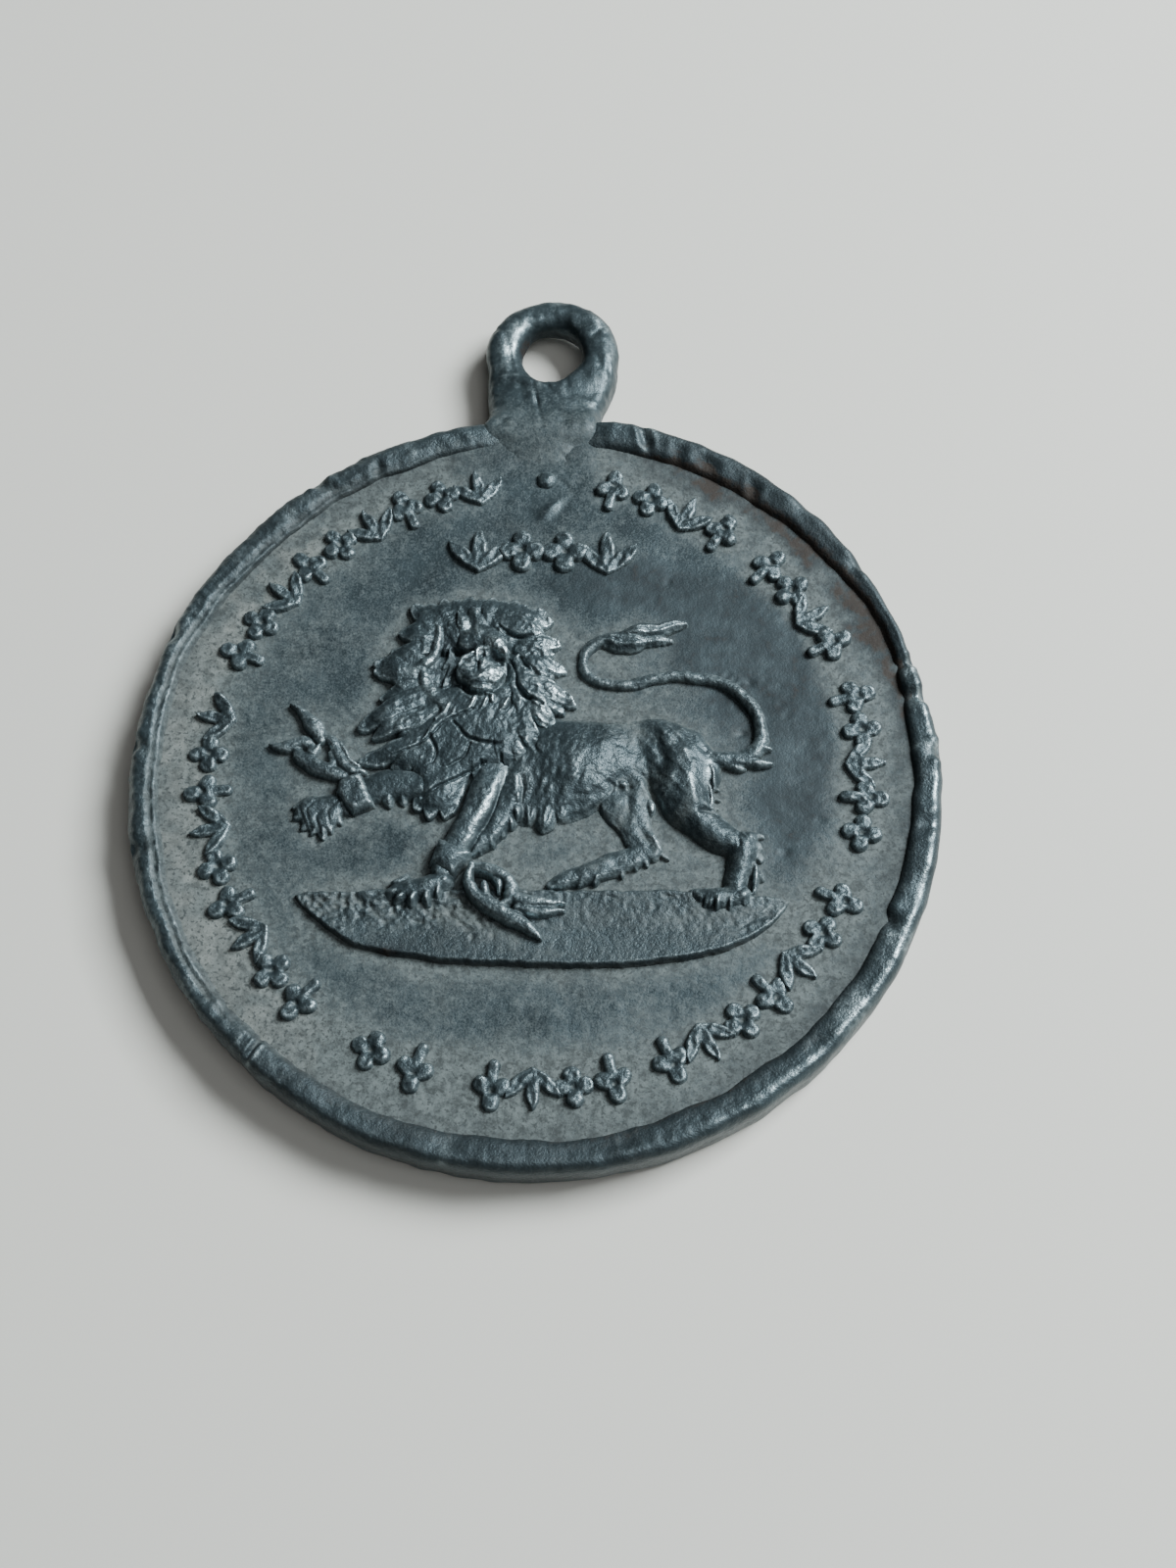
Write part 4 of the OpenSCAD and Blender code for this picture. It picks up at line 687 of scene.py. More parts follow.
class Sheet:
    """A grid with heights above the field, read through slightly bent places for a hand-cut look."""

    def __init__(self, x0, y0, x1, y1, step, bend=0.0):
        self.step = step
        self.X, self.Y = np.meshgrid(np.arange(x0, x1, step), np.arange(y0, y1, step), indexing="ij")
        self.U, self.V = (
            place + bend * (noise(self.X, self.Y, 0.7, seed) + 0.5 * noise(self.X, self.Y, 0.28, seed + 1))
            for place, seed in ((self.X, 1), (self.Y, 3))
        )
        self.H = np.full(self.X.shape, EMPTY)

    def block(self, points, reach):
        """The part of the grid that lies within reach of some points."""
        lo, hi = points.min(0) - reach, points.max(0) + reach
        i = np.searchsorted(self.X[:, 0], (lo[0], hi[0]))
        j = np.searchsorted(self.Y[0], (lo[1], hi[1]))
        return slice(i[0], i[1]), slice(j[0], j[1])

    def nearest(self, rows):
        """For the points near a curve: share of the half width, value along it, and side, -1 to 1."""
        p = curve(rows)
        width = np.maximum(p[:, 2], 0.03)
        at = self.block(p[:, :2], width.max() * 1.3 + 0.15)
        x, y = self.U[at], self.V[at]
        best = np.full(x.shape, FAR)
        u, value, side = np.full(x.shape, 9.0), np.zeros(x.shape), np.zeros(x.shape)
        for a, b, wa, wb in zip(p[:-1], p[1:], width[:-1], width[1:]):
            t, ex, ey = off_segment(x, y, a[:2], b[:2])
            gap, w = np.hypot(ex, ey), wa + t * (wb - wa)
            near = gap - w < best
            best = np.where(near, gap - w, best)
            u = np.where(near, gap / w, u)
            value = np.where(near, a[3] + t * (b[3] - a[3]), value)
            turn = (b[0] - a[0]) * ey - (b[1] - a[1]) * ex
            side = np.where(near, np.sign(turn) * gap / w, side)
        return at, u, value, side

    def stroke(self, rows, power, wall, soft=0.0, strands=0, depth=0.0, tilt=0.0):
        """Lays a rounded strip, joined softly to what is there.

        strands and depth give it hair along its length, and tilt leans its top.
        """
        at, u, height, side = self.nearest(rows)
        value = height * (1 + tilt * np.clip(side, -1, 1)) * profile(u, power, wall)
        if strands:
            turn = math.pi * strands * (side + 1) + 1.3 * noise(self.U[at], self.V[at], 0.4, 5)
            value -= depth * (0.5 - 0.5 * np.cos(turn)) * (u < 1) * ease(1.0, 0.7, u)
        self.H[at] = soft_max(self.H[at], value, soft) if soft else np.maximum(self.H[at], value)

    def carve(self, rows):
        """Cuts a rounded groove: x, y, half width, depth."""
        at, u, depth, _ = self.nearest(rows)
        self.H[at] -= np.where(self.H[at] > 0, depth * np.exp(-(u**2) * 1.5), 0)

    def lock(self, row, wall, depth, tilt=0.0, fineness=0.14, power=2.2):
        """A leaf-shaped lock, a toe or a claw: root, tip, bow, half width, height."""
        a, b = np.array(row[:2]), np.array(row[2:4])
        bow, w, h = row[4:]
        side = np.array([-(b - a)[1], (b - a)[0]]) / np.hypot(*(b - a))
        rows = []
        for s, ws, hs in LEAF:
            p = a + (b - a) * s + side * bow * math.sin(math.pi * s)
            rows.append((p[0], p[1], w * ws, h * hs))
        self.stroke(rows, power, wall, 0.0, round(w / fineness), depth, tilt)

    def add(self, amount, above=0):
        """Adds an amount where the relief stands higher than a given height."""
        self.H += np.where(self.H > above, amount, 0)

    def swell(self, row):
        """A soft swelling, or a hollow where its height is negative."""
        self.add(row[5] * oval(self.U, self.V, *row[:5]))

    def plate(self, points, height, edge):
        """A plate with a short wall and a sloping edge."""
        points = np.array(points, float)
        at = self.block(points, 0.3)
        d = edge_distance(self.U[at], self.V[at], points)
        t = np.clip(d / edge, 0, 1)
        value = height * (0.5 * ease(0, 0.12, d) + 0.5 * (1 - (1 - t) ** 2))
        self.H[at] = np.maximum(self.H[at], np.where(d > 0, value, 8 * d))

    def soften(self, reach, keep):
        """Lowers the small relief inside the outline to a share, one for all or one at each point."""
        inside = (self.H > 0.1).astype(float)
        sigma = reach / self.step
        broad = blurred(self.H * inside, sigma) / np.maximum(blurred(inside, sigma), 0.02)
        self.H = np.where(inside > 0, broad + keep * (self.H - broad), self.H)

    def lower_edge(self, reach, share):
        """Lowers the relief towards its outline, to a share of its height."""
        inside = blurred((self.H > 0.03).astype(float), reach / self.step)
        self.H = np.where(self.H > 0, self.H * (share + (1 - share) * ease(0.5, 0.96, inside)), self.H)

    def grain(self, amount, size, seed):
        """Cast roughness."""
        self.add(amount * rough(self.X, self.Y, size, seed, 3), -0.05)


def for_each(act, rows, *shape):
    """Does one thing with every row of a table, always with the same shape."""
    for row in rows:
        act(row, *shape)


# Meshes
def add_object(name, data):
    """A new object in the scene."""
    made = bpy.data.objects.new(name, data)
    bpy.context.scene.collection.objects.link(made)
    return made


def make_piece(name, vertices, faces, material, dust, worn, stain):
    """A closed mesh in millimetres as a piece of the object, with its dust, wear and stain at each vertex. In
    places the dust is partly painted fill light, the wear partly painted highlight and the stain partly
    painted shade.
    """
    mesh = bpy.data.meshes.new(name)
    mesh.from_pydata((np.asarray(vertices, float) * MM).tolist(), [], faces)
    mesh.update()
    mesh.polygons.foreach_set("use_smooth", np.ones(len(mesh.polygons), bool))
    for key, value in (("dust", dust), ("worn", worn), ("stain", stain)):
        layer = mesh.attributes.new(key, "FLOAT", "POINT")
        layer.data.foreach_set("value", np.asarray(value, np.float32))
    mesh.materials.append(material)
    piece = add_object(name, mesh)
    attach(piece, "root")
    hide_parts("medal")


def grid_faces(rows, around, closed):
    """Faces of rows of points that close round on themselves, the last row meeting the first if closed."""
    k, j = np.meshgrid(np.arange(rows if closed else rows - 1), np.arange(around), indexing="ij")
    k1, j1 = (k + 1) % rows, (j + 1) % around
    return np.stack([k * around + j, k1 * around + j, k1 * around + j1, k * around + j1], -1).reshape(-1, 4)


def solid_cells(H):
    """The cells of a height field that stand above the field, with no two that meet at a corner alone."""
    top = np.maximum(np.maximum(H[:-1, :-1], H[1:, :-1]), np.maximum(H[:-1, 1:], H[1:, 1:]))
    keep = top > -0.04
    for _ in range(4):
        a, b, c, d = keep[:-1, :-1], keep[1:, 1:], keep[1:, :-1], keep[:-1, 1:]
        one, two = a & b & ~c & ~d, c & d & ~a & ~b
        if not (one.any() or two.any()):
            break
        c |= one
        a |= two
    return keep


def slab(sheet):
    """Vertices and faces of a sheet as a closed slab, and which of the sheet's points it uses."""
    H = np.maximum(sheet.H, LOWEST)
    i, j = np.nonzero(solid_cells(H))
    n = H.shape[1]
    corner = i * n + j
    quads = np.stack([corner, corner + n, corner + n + 1, corner + 1], 1)
    used, flat = np.unique(quads, return_inverse=True)
    quads = flat.reshape(-1, 4)
    count = len(used)
    x, y, z = (values.ravel()[used] for values in (sheet.X, sheet.Y, H))
    top = np.stack([x, y, FIELD + z], 1)
    low = np.stack([x, y, np.full(count, FIELD - SLAB_DEPTH)], 1)
    a, b = quads.ravel(), np.roll(quads, -1, 1).ravel()
    edge = ~np.isin(a * count + b, b * count + a)
    a, b = a[edge], b[edge]
    sides = np.stack([b, a, a + count, b + count], 1)
    return np.vstack([top, low]), np.vstack([quads, quads[:, ::-1] + count, sides]), used


def crests(sheet):
    """Wear on the crests and dirt in the hollows of a relief, each from 0 to 1."""
    high = np.maximum(sheet.H, -0.05)
    crest, broad = (high - blurred(high, reach / sheet.step) for reach in (0.09, 0.4))
    worn = np.clip(crest / 0.045 - 0.2, 0, 1)
    pit = np.clip(-crest / 0.045 - 0.15, 0, 1) * 0.45 + np.clip(-broad / 0.2 - 0.15, 0, 1) * 0.45
    return worn, pit


def relief_piece(name, sheet, material, dust, stain, rubbed_and_glint, in_hollows=1.0):
    """A height field as a piece, with dust at its foot and in its hollows, and wear on its crests and where
    it is given, that given wear partly painted highlights. The stain given is, for the head, partly painted
    shade.
    """
    worn, pit = crests(sheet)
    worn = np.clip(worn * (0.4 + 0.8 * rubbed_and_glint) + 0.6 * rubbed_and_glint * np.abs(rubbed_and_glint), 0, 1)
    foot = 0.6 * ease(0.42, 0.04, sheet.H)
    uneven = 0.75 + 0.5 * noise(sheet.X, sheet.Y, 0.5, 3)
    pit = np.clip((in_hollows * pit + foot + dust) * uneven, 0, 1)
    stain = np.zeros(pit.shape) + stain
    worn = worn * np.clip(1 - 1.5 * stain, 0, 1)
    vertices, faces, used = slab(sheet)
    values = (np.tile(value.ravel()[used], 2) for value in (pit, worn, stain))
    make_piece(name, vertices, faces.tolist(), material, *values)


# The relief's pieces
def lion_body(material):
    sheet, far = (Sheet(-10.2, -6.6, 9.9, 7.1, 0.05, 0.05) for _ in range(2))
    for_each(far.stroke, FAR_LEG, 3.4, 0.5, 0.12)
    for_each(far.swell, FAR_SWELLS)
    for_each(sheet.stroke, BODY_FORMS, 2.1, 0.22, 0.22)
    for_each(sheet.swell, BODY_SWELLS)
    sheet.H = np.maximum(sheet.H, far.H)
    for_each(sheet.stroke, [RAISED_LEG], 3.0, 0.4, 0.1)
    for_each(sheet.stroke, [*RAISED_PAW, NEAR_PAW, FORE_PAW], 2.4, 0.35, 0.08)
    for_each(sheet.stroke, FORELEG, 3.4, 0.3, 0.06)
    for_each(sheet.stroke, [TAIL], 3.2, 0.5, 0.05)
    for_each(sheet.stroke, TAIL_TUFT, 2.6, 0.4, 0.0, 3, 0.06)
    for_each(sheet.lock, BODY_LOCKS, 0.4, 0.04)
    for_each(sheet.carve, BODY_CREASES)
    sheet.lower_edge(0.22, 0.72)
    body_hair(sheet)
    sheet.grain(0.016, 0.3, 4)
    # dust on the shaded slopes, partly dust and partly painted fill light, with a slight brown stain
    dirt = spots(sheet.X, sheet.Y, DUST_AND_FILL_BODY)
    # rubbed places of the body, partly wear and partly painted highlights where the light glints
    rubbed_and_glint = spots(sheet.X, sheet.Y, RUBBED_GLINT_BODY)
    relief_piece("lion_body", sheet, material, dirt, 0.15 * dirt, rubbed_and_glint, 0.3)
    return sheet


def body_hair(sheet):
    """Strokes of hair over the shoulder and the rump, and small pocks all over the body."""
    X, Y = sheet.X, sheet.Y
    shoulder = ease(2.6, 0.4, np.hypot((X - 0.9) / 1.1, (Y + 0.5) / 0.9)) * (X > -1)
    sheet.add(0.04 * noise(X - 0.35 * Y, 0.5 * (0.35 * X + Y), 0.2, 6) * shoulder)
    rump = ease(2.4, 0.8, np.hypot(X - 5.6, (Y - 0.6) / 1.2))
    sheet.add(0.04 * noise(X + 0.8 * Y, 0.35 * (Y - 0.8 * X), 0.26, 7) * rump)
    sheet.add(0.05 * noise(1.6 * X, 0.6 * Y, 0.9, 8) + 0.014 * noise(X, Y, 0.17, 2), 0.2)


def lion_head(material):
    sheet = Sheet(-7.6, -2.9, 1.8, 8.0, 0.04, 0.06)
    X, Y = sheet.X, sheet.Y
    rng = np.random.default_rng(11)
    for_each(sheet.stroke, MANE_BASE, 2.6, 0.2, 0.1)
    for row in MANE_LOCKS:
        sheet.lock(row, 0.84, 0.03, rng.uniform(-0.14, 0.14), 0.17, 3.4)
    for_each(sheet.stroke, RUFF, 2.0, 0.7, 0.1)
    chest = np.exp(-(((X + 2.4) / 2.2) ** 4) - ((Y - 0.2) / 2.2) ** 4)
    sheet.soften(0.5, 0.62 - 0.42 * chest)
    for_each(sheet.carve, MANE_LINES)
    sheet.lower_edge(0.5, 0.5)
    lion_face(sheet)
    head_hair(sheet, chest)
    sheet.grain(0.016, 0.2, 7)
    rust = 0.7 * oval(X, Y, -1.62, 4.42, 0.3, 0.1)
    # painted shade: a dark film in the hollow left of the face, with its dust taken away
    hollow = 0.8 * np.exp(-(((X + 3.75) / 0.42) ** 2) - ((Y - 4.6) / 1.2) ** 4)
    stain = np.clip(rust + 0.6 * hollow, 0, 1)
    # rubbed places of brow, cheek and mane, partly wear and partly painted highlights where the light glints
    rubbed_and_glint = spots(X, Y, RUBBED_GLINT_HEAD) - 0.3 * chest
    relief_piece("lion_head", sheet, material, -hollow, stain, rubbed_and_glint, 0.15)
    return sheet


def lion_face(sheet):
    for_each(sheet.stroke, FACE_FORMS, 3.2, 0.72, 0.12)
    for_each(sheet.stroke, FACE_RIDGES, 2.0, 0.86, 0.04)
    for_each(sheet.swell, FACE_HOLLOWS)
    for_each(sheet.carve, FACE_GROOVES)


def head_hair(sheet, chest):
    """Strands that fan out from the face, folds and curls of the mane, and the skin of the face.

    The face falls away to the right.
    """
    X, Y = sheet.X, sheet.Y
    fx, fy = X - FACE_AT[0], Y - FACE_AT[1]
    away, turn = np.hypot(fx, fy), np.arctan2(fy, fx)
    r = away + 0.5
    strands = 0.03 * noise(turn * 9, np.log(r) * 3, 1.0, 6) + 0.016 * noise(turn * 21, np.log(r) * 7, 1.0, 4)
    sheet.add(ease(1.4, 2.4, r) * (1 - 0.7 * chest) * strands, 0.15)
    sheet.add((0.03 - 0.02 * chest) * creased(X, Y, 0.5, 7), 0.1)
    curls = 0.03 * noise(X + 0.5 * Y, Y, 0.24, 3) + 0.025 * noise(X, Y, 0.14, 9)
    sheet.add(ease(-1.4, -0.3, X) * curls, 0.1)
    near_face = ease(1.3, 0.9, away)
    sheet.H += near_face * (0.024 * noise(X, Y, 0.2, 5) + 0.014 * noise(X, Y, 0.1, 6))
    sheet.H -= near_face * 0.4 * np.clip(X + 2.25, 0, 0.85)


def broken_shackles(material):
    sheet = Sheet(-11.2, -7.9, 1.8, 3.0, 0.05, 0.05)
    for_each(sheet.stroke, SHACKLE, 2.6, 0.5)
    for points, height, edge in CUFFS:
        sheet.plate(points, height, edge)
    for_each(sheet.stroke, LINK, 2.8, 0.5)
    sheet.grain(0.026, 0.35, 5)
    # rubbed places of the shackles, partly wear and partly painted highlights where the light glints
    rubbed_and_glint = 0.12 + 0.7 * spots(sheet.X, sheet.Y, RUBBED_GLINT_LINKS)
    relief_piece("broken_shackles", sheet, material, 0.05, 0, rubbed_and_glint, 0.5)
    return sheet


def ground_strip(material):
    sheet = Sheet(-9.6, -8.8, 10.5, -4.9, 0.06)
    X, Y = sheet.X, sheet.Y
    upper, lower, h_up, h_low = columns(curve(GROUND), X)
    wavy = 0.05 * noise(X, Y * 0, 0.5, 2) + 0.03 * noise(X, Y * 0, 0.2, 3)
    d_up, d_low = upper + wavy - Y, Y - lower - 0.6 * wavy
    v = np.clip((Y - lower) / np.maximum(upper - lower, 0.05), 0, 1)
    h_low = h_low * 0.82
    top = h_low + (h_up - h_low) * v - 0.08 * np.sin(math.pi * v) * ease(0.3, 1.2, d_low + d_up)
    band = ease(-7.3, -6.4, Y) * (0.25 + 0.95 * ease(0.5, -1.5, X) + 0.25 * ease(4.5, 6.5, X))
    stipple = np.minimum(noise(X + 0.3 * Y, Y, 0.22, 8), 0.1) + 0.5 * noise(X, Y, 0.13, 1)
    grain = 0.006 * rough(X, Y, 0.6, 9, 2) + 0.006 * noise(X, Y, 0.2, 5)
    edges = np.minimum(3.4 * d_low + 0.04, 2.4 * d_up + 0.04)
    sheet.H = np.minimum(top + grain + 0.1 * band * stipple, edges)
    sheet.H = np.where((X > GROUND[0][0]) & (X < GROUND[-1][0]), sheet.H, LOWEST)
    for_each(sheet.swell, GROUND_DENTS)
    streak = 0.6 * oval(X, Y + 0.35 * (X + 2.2), -2.2, -6.6, 2.4, 0.6)
    dust = streak + spots(X, Y, GROUND_DUST, np.add)
    stain = 0.8 * oval(X, Y, -5.5, -8.05, 0.6, 0.2)
    # rubbed places of the ground, partly wear and partly painted highlights where the light glints
    rubbed_and_glint = spots(X, Y, GROUND_RUBBED_GLINT, np.add)
    relief_piece("ground_strip", sheet, material, dust + 0.16, stain + 0.14, rubbed_and_glint - 0.25)
    return sheet


# The border of marks
def petals(sheet, size, middle, directions, rows, *hair):
    """Strips that spread from a middle: distance from it and half width, as shares of the mark's size."""
    for a in directions:
        c, s = math.cos(math.radians(a)) * size, math.sin(math.radians(a)) * size
        strip = [(c * d, s * d + size * middle, size * w, MARK_H) for d, w in rows]
        sheet.stroke(strip, *MARK_SECTION, *hair)


def clover(sheet, size):
    petals(sheet, size, 0.1, (90, 210, 330), ((0.2, 0.22), (0.28, 0.21)))
    sheet.stroke([(0, -size * 0.5, size * 0.15, MARK_H), (0, 0, size * 0.12, MARK_H)], *MARK_SECTION)
    sheet.swell((0, size * 0.1, size * 0.09, size * 0.09, 0, -0.12))


def rosette(sheet, size):
    petals(sheet, size, 0, (0, 90, 180, 270), ((0.14, 0.16), (0.28, 0.22)))
    sheet.swell((0, 0, size * 0.11, size * 0.11, 0, -0.16))


def leaf_spray(sheet, size):
    leaf = ((0, 0.08), (0.3, 0.15), (0.6, 0.17), (0.9, 0.05))
    petals(sheet, size, -0.45, (44, 90, 136), leaf, 0, 1, 0.05)


def pellet(sheet, size):
    sheet.stroke([(-0.02, 0, size, 0.3), (0.02, 0, size, 0.3)], 2.4, 0.3)


# Kinds of marks: how each is made, and half the side of its sheet as a share of its size
MARK_KINDS = ((clover, 0.64), (rosette, 0.64), (leaf_spray, 0.64), (pellet, 1.2))


def mark_places():
    """Kind, place, turn and size of every mark. The border takes the first three kinds in turn."""
    places = []
    for start, end, count in BORDER_GROUPS:
        for i in range(count):
            a = math.radians(start + (end - start) * i / (count - 1))
            places.append((i % 3, MARK_R * math.sin(a), MARK_R * math.cos(a), -a, MARK_SIZE))
    for kind, x in zip(ROW_KINDS, ROW_X):
        places.append((kind, x, ROW_Y, 0, ROW_SIZE))
    places.append((3, *PELLET_AT, 0, PELLET_R))
    return places


def mark_slab(n, kind, size):
    """One mark about its own middle, with wear that no other mark has."""
    make, share = MARK_KINDS[kind]
    half = size * share
    sheet = Sheet(-half, -half, half, half, 0.06, 0.03)
    make(sheet, size)
    X, Y = sheet.X, sheet.Y
    wear = 0.05 * noise(X + 11 * n, Y - 7 * n, 0.5, 2) + 0.035 * noise(X + 5 * n, Y + 3 * n, 0.18, 5)
    sheet.add(wear, -0.05)
    worn, pit = crests(sheet)
    vertices, faces, used = slab(sheet)
    return vertices, faces, worn.ravel()[used], pit.ravel()[used]


def border_marks(material):
    """All the marks and the small pellet as one piece, and the points of their tops."""
    vertices, faces, worn, dust, total = [], [], [], [], 0
    for n, (kind, x, y, turn, size) in enumerate(mark_places()):
        v, f, wear, pit = mark_slab(n, kind, size)
        c, s = math.cos(turn), math.sin(turn)
        vertices.append(np.stack([x + v[:, 0] * c - v[:, 1] * s, y + v[:, 0] * s + v[:, 1] * c, v[:, 2]], 1))
        faces.append(f + total)
        worn.append(np.tile(wear * 0.35, 2))
        dust.append(np.tile(np.clip(pit * 1.4, 0, 1), 2))
        total += len(v)
    vertices, faces = np.vstack(vertices), np.vstack(faces)
    worn, dust = np.concatenate(worn), np.concatenate(dust)
    make_piece("border_marks", vertices, faces.tolist(), material, dust, worn, worn * 0)
    return vertices[vertices[:, 2] > FIELD]


# The disc
def covered(x, y):
    """A coarse map of the field with 1 where a point lies."""
    table = np.zeros((MAP_CELLS, MAP_CELLS))
    table[((x + MAP_HALF) / MAP_STEP).astype(int), ((y + MAP_HALF) / MAP_STEP).astype(int)] = 1
    return table


def near_covered(table, reach, x, y):
    """How much of a map is covered within reach of a place."""
    gx, gy = (x + MAP_HALF) / MAP_STEP - 0.5, (y + MAP_HALF) / MAP_STEP - 0.5
    return between(blurred(table, reach / MAP_STEP), gx, gy)


def solder_film(x, y):
    """How much the thin film of solder under the loop covers the field, from 0 to 1."""
    edge = 0.6 * noise(x, y, 1.3, 5) + 0.2 * noise(x, y, 0.5, 6)
    left, right = ease(-4.6, -2.6, x + edge), ease(3.0, 1.2, x + edge)
    return left * right * ease(11.2, 13.4, y + edge)


def face_height(x, y):
    """The disc's face: cast grain, solder film, scratches, pits, a small ridge and a rise to the rim."""
    h = 0.007 * rough(x, y, 0.35, 2, 3) + 0.03 * noise(x, y, 3.0, 4) + 0.008 * noise(x, y, 0.9, 6)
    h += 0.07 * solder_film(x, y) * (0.7 + 0.3 * noise(x, y, 0.7, 1))
    h += 0.05 * ease(14.2, 15.4, np.hypot(x, y))
    for x0, y0, x1, y1, w, depth in SCRATCHES:
        _, ex, ey = off_segment(x, y, np.array((x0, y0)), np.array((x1, y1)))
        gap = np.hypot(ex, ey) / w
        h -= depth * np.exp(-(gap**2)) * 1.3 - 0.4 * depth * np.exp(-((gap - 1.8) ** 2))
    for px, py, w, depth in PITS:
        h -= depth * oval(x, y, px, py, w, w)
    dx, dy = x - RIDGE_AT[0], y - RIDGE_AT[1]
    h += 0.16 * np.exp(-(((dx * 0.74 - dy * 0.67) / 0.16) ** 2) - ((dx * 0.67 + dy * 0.74) / 0.6) ** 2)
    return FIELD + h


def back_height(x, y):
    return BACK - 0.02 * rough(x, y, 0.8, 3, 2) - 0.03 * noise(x, y, 4.0, 5)


def handled(x, y):
    """How much each place of the field was rubbed dark by hands."""
    return spots(x, y, DARK_PATCHES, np.add) * (1 - 0.85 * ease(11.8, 12.9, np.hypot(x, y)))


def field_dust(x, y, relief, marks):
    """Dust in the ring of marks and close round the relief, and above 1 where it is caked at the left."""
    r = np.hypot(x, y)
    start = 12.4 - 1.6 * ease(-4.0, 5.0, x - 0.6 * y)
    dust = 0.32 + 0.52 * ease(start, start + 1.8, r + 0.6 * noise(x, y, 2.0, 3))
    dust += 0.42 * ease(0.04, 0.42, near_covered(relief, 0.75, x, y))
    dust += 0.2 * ease(0.05, 0.4, near_covered(marks, 0.45, x, y))
    dust -= 0.36 * handled(x, y)
    # the dust thins evenly towards the right and the top, so the field darkens that way
    dust += 0.13 * rough(x, y, 1.1, 7, 3) + 0.09 * noise(x + 0.4 * y, y, 0.3, 8) - 0.012 * x - 0.008 * y
    dust *= 1 - 0.6 * solder_film(x, y)
    caked = 0.4 * ease(-6.0, -11.0, x) * ease(12.4, 13.6, r + 0.5 * noise(x, y, 0.8, 2))
    caked *= 0.7 + 0.5 * noise(x, y, 0.5, 4)
    return np.clip(dust, 0, 1) + np.clip(caked, 0, 0.4) * (dust > 0.8)


def field_stain_and_shade(x, y):
    """Brown stain along the rim, strongest at the upper right, with painted shade at the foot of the rim's
    inner wall, and a dark film on the handled patches.
    """
    r, a = np.hypot(x, y), np.degrees(np.arctan2(y, x))
    uneven = r + 0.4 * noise(x, y, 0.9, 8) + 0.3 * noise(x, y, 0.28, 3)
    # the band's outer step, right at the foot of the rim's inner wall, is painted shade, strongest at the
    # upper right and right; the rest is brown stain
    band = 0.6 * ease(14.15, 14.5, uneven) + 0.4 * ease(14.6, 14.9, uneven)
    upper_right, right = ease(2, 25, a) * ease(82, 60, a), ease(-80, -50, a) * ease(40, 20, a)
    upper_left = ease(100, 120, a) * ease(150, 130, a)
    brown = band * (0.25 + 0.8 * upper_right + 0.25 * right + 0.2 * upper_left)
    brown *= 0.8 + 0.5 * noise(x, y, 0.7, 9)
    film = 0.5 * ease(0.25, 1.1, handled(x, y)) * ease(-2.0, 4.0, x) * (1 + 0.4 * noise(x, y, 0.35, 5))
    return np.clip(np.maximum(brown, film), 0, 1)


def disc_rings(radii, height):
    """Points on rings of the disc, as high as a function of x and y says."""
    a = np.arange(DISC_AROUND) * 2 * math.pi / DISC_AROUND
    R, A = np.meshgrid(radii, a, indexing="ij")
    x, y = R * np.cos(A), R * np.sin(A)
    return np.stack([x, y, height(x, y)], -1).reshape(-1, 3)


def disc(material, sheets, mark_points):
    face = disc_rings(np.linspace(0.08, DISC_R, FACE_RINGS), face_height)
    back = disc_rings(np.linspace(DISC_R, 0.5, BACK_RINGS), back_height)
    middle = np.zeros(1)
    vertices = np.vstack([face, back, [[0, 0, face_height(middle, middle)[0]], [0, 0, BACK]]])
    rings = FACE_RINGS + BACK_RINGS
    faces = grid_faces(rings, DISC_AROUND, False).tolist()
    centre, last = rings * DISC_AROUND, (rings - 1) * DISC_AROUND
    for q in range(DISC_AROUND):
        after = (q + 1) % DISC_AROUND
        faces += [[centre, q, after], [centre + 1, last + after, last + q]]
    x, y, z = vertices.T
    relief = covered(*np.hstack([(sheet.X[sheet.H > 0], sheet.Y[sheet.H > 0]) for sheet in sheets]))
    dust = field_dust(x, y, relief, covered(mark_points[:, 0], mark_points[:, 1]))
    on_back = z < 1
    dust[on_back] = 0.35 + 0.2 * rough(x[on_back], y[on_back], 2.0, 2, 2)
    stain = np.where(on_back, 0, field_stain_and_shade(x, y))
    make_piece("disc", vertices, faces, material, dust, dust * 0, stain)


# The rim
def rim_section():
    """The rim's section, from inside the disc over the top and round by the back, as evenly spaced points."""
    points = [(RIM_INNER + d, z) for d, z in INNER_SLOPE] + [(RIM_OUTER + d, z) for d, z in OUTER_WALL]
    fine = curve(points + points[:1], 0.04)
    at = np.concatenate([[0], np.cumsum(np.hypot(*np.diff(fine, axis=0).T))])
    s = np.linspace(0, at[-1], RIM_ACROSS, endpoint=False)
    return [np.interp(s, at, values) for values in fine.T]


def ring_noise(turn, size, seed):
    """Noise along the rim, at angles in degrees."""
    a = np.radians(turn)
    return noise(np.cos(a) * RIM_MIDDLE + 40, np.sin(a) * RIM_MIDDLE + 40, size, seed)


def rim_edges(turn):
    """The rim's inner and outer radius at each angle."""
    outer, inner = columns(RIM_SHAPE, turn)
    outer += 0.05 * ring_noise(turn, 1.8, 1) + 0.03 * ring_noise(turn, 0.7, 2)
    outer += 0.02 * ring_noise(turn, 0.3, 7) * ease(95, 120, np.abs(turn))
    inner += 0.09 * ring_noise(turn, 1.6, 3) + 0.05 * ring_noise(turn, 0.6, 4)
    return inner, outer


def rim_dents(turn, r, z, side, above):
    """The rim's radius and height after its dents, each with a raised shoulder on both sides."""
    for angle, radius, w_along, w_across, slant, depth in RIM_DENTS:
        v = r - radius
        u = np.radians((turn - angle + 180) % 360 - 180) * RIM_MIDDLE - slant * v
        across = (np.abs(v) / w_across) ** 3
        hit = np.exp(-((u / w_along) ** 2) - across)
        shoulder = np.exp(-(((np.abs(u) - w_along * 1.6) / (w_along * 0.7)) ** 2) - across)
        z = z - above * depth * (hit - 0.3 * shoulder)
        r = r + side * above * depth * (0.2 * shoulder - 0.35 * hit)
    return r, np.maximum(z, 0)


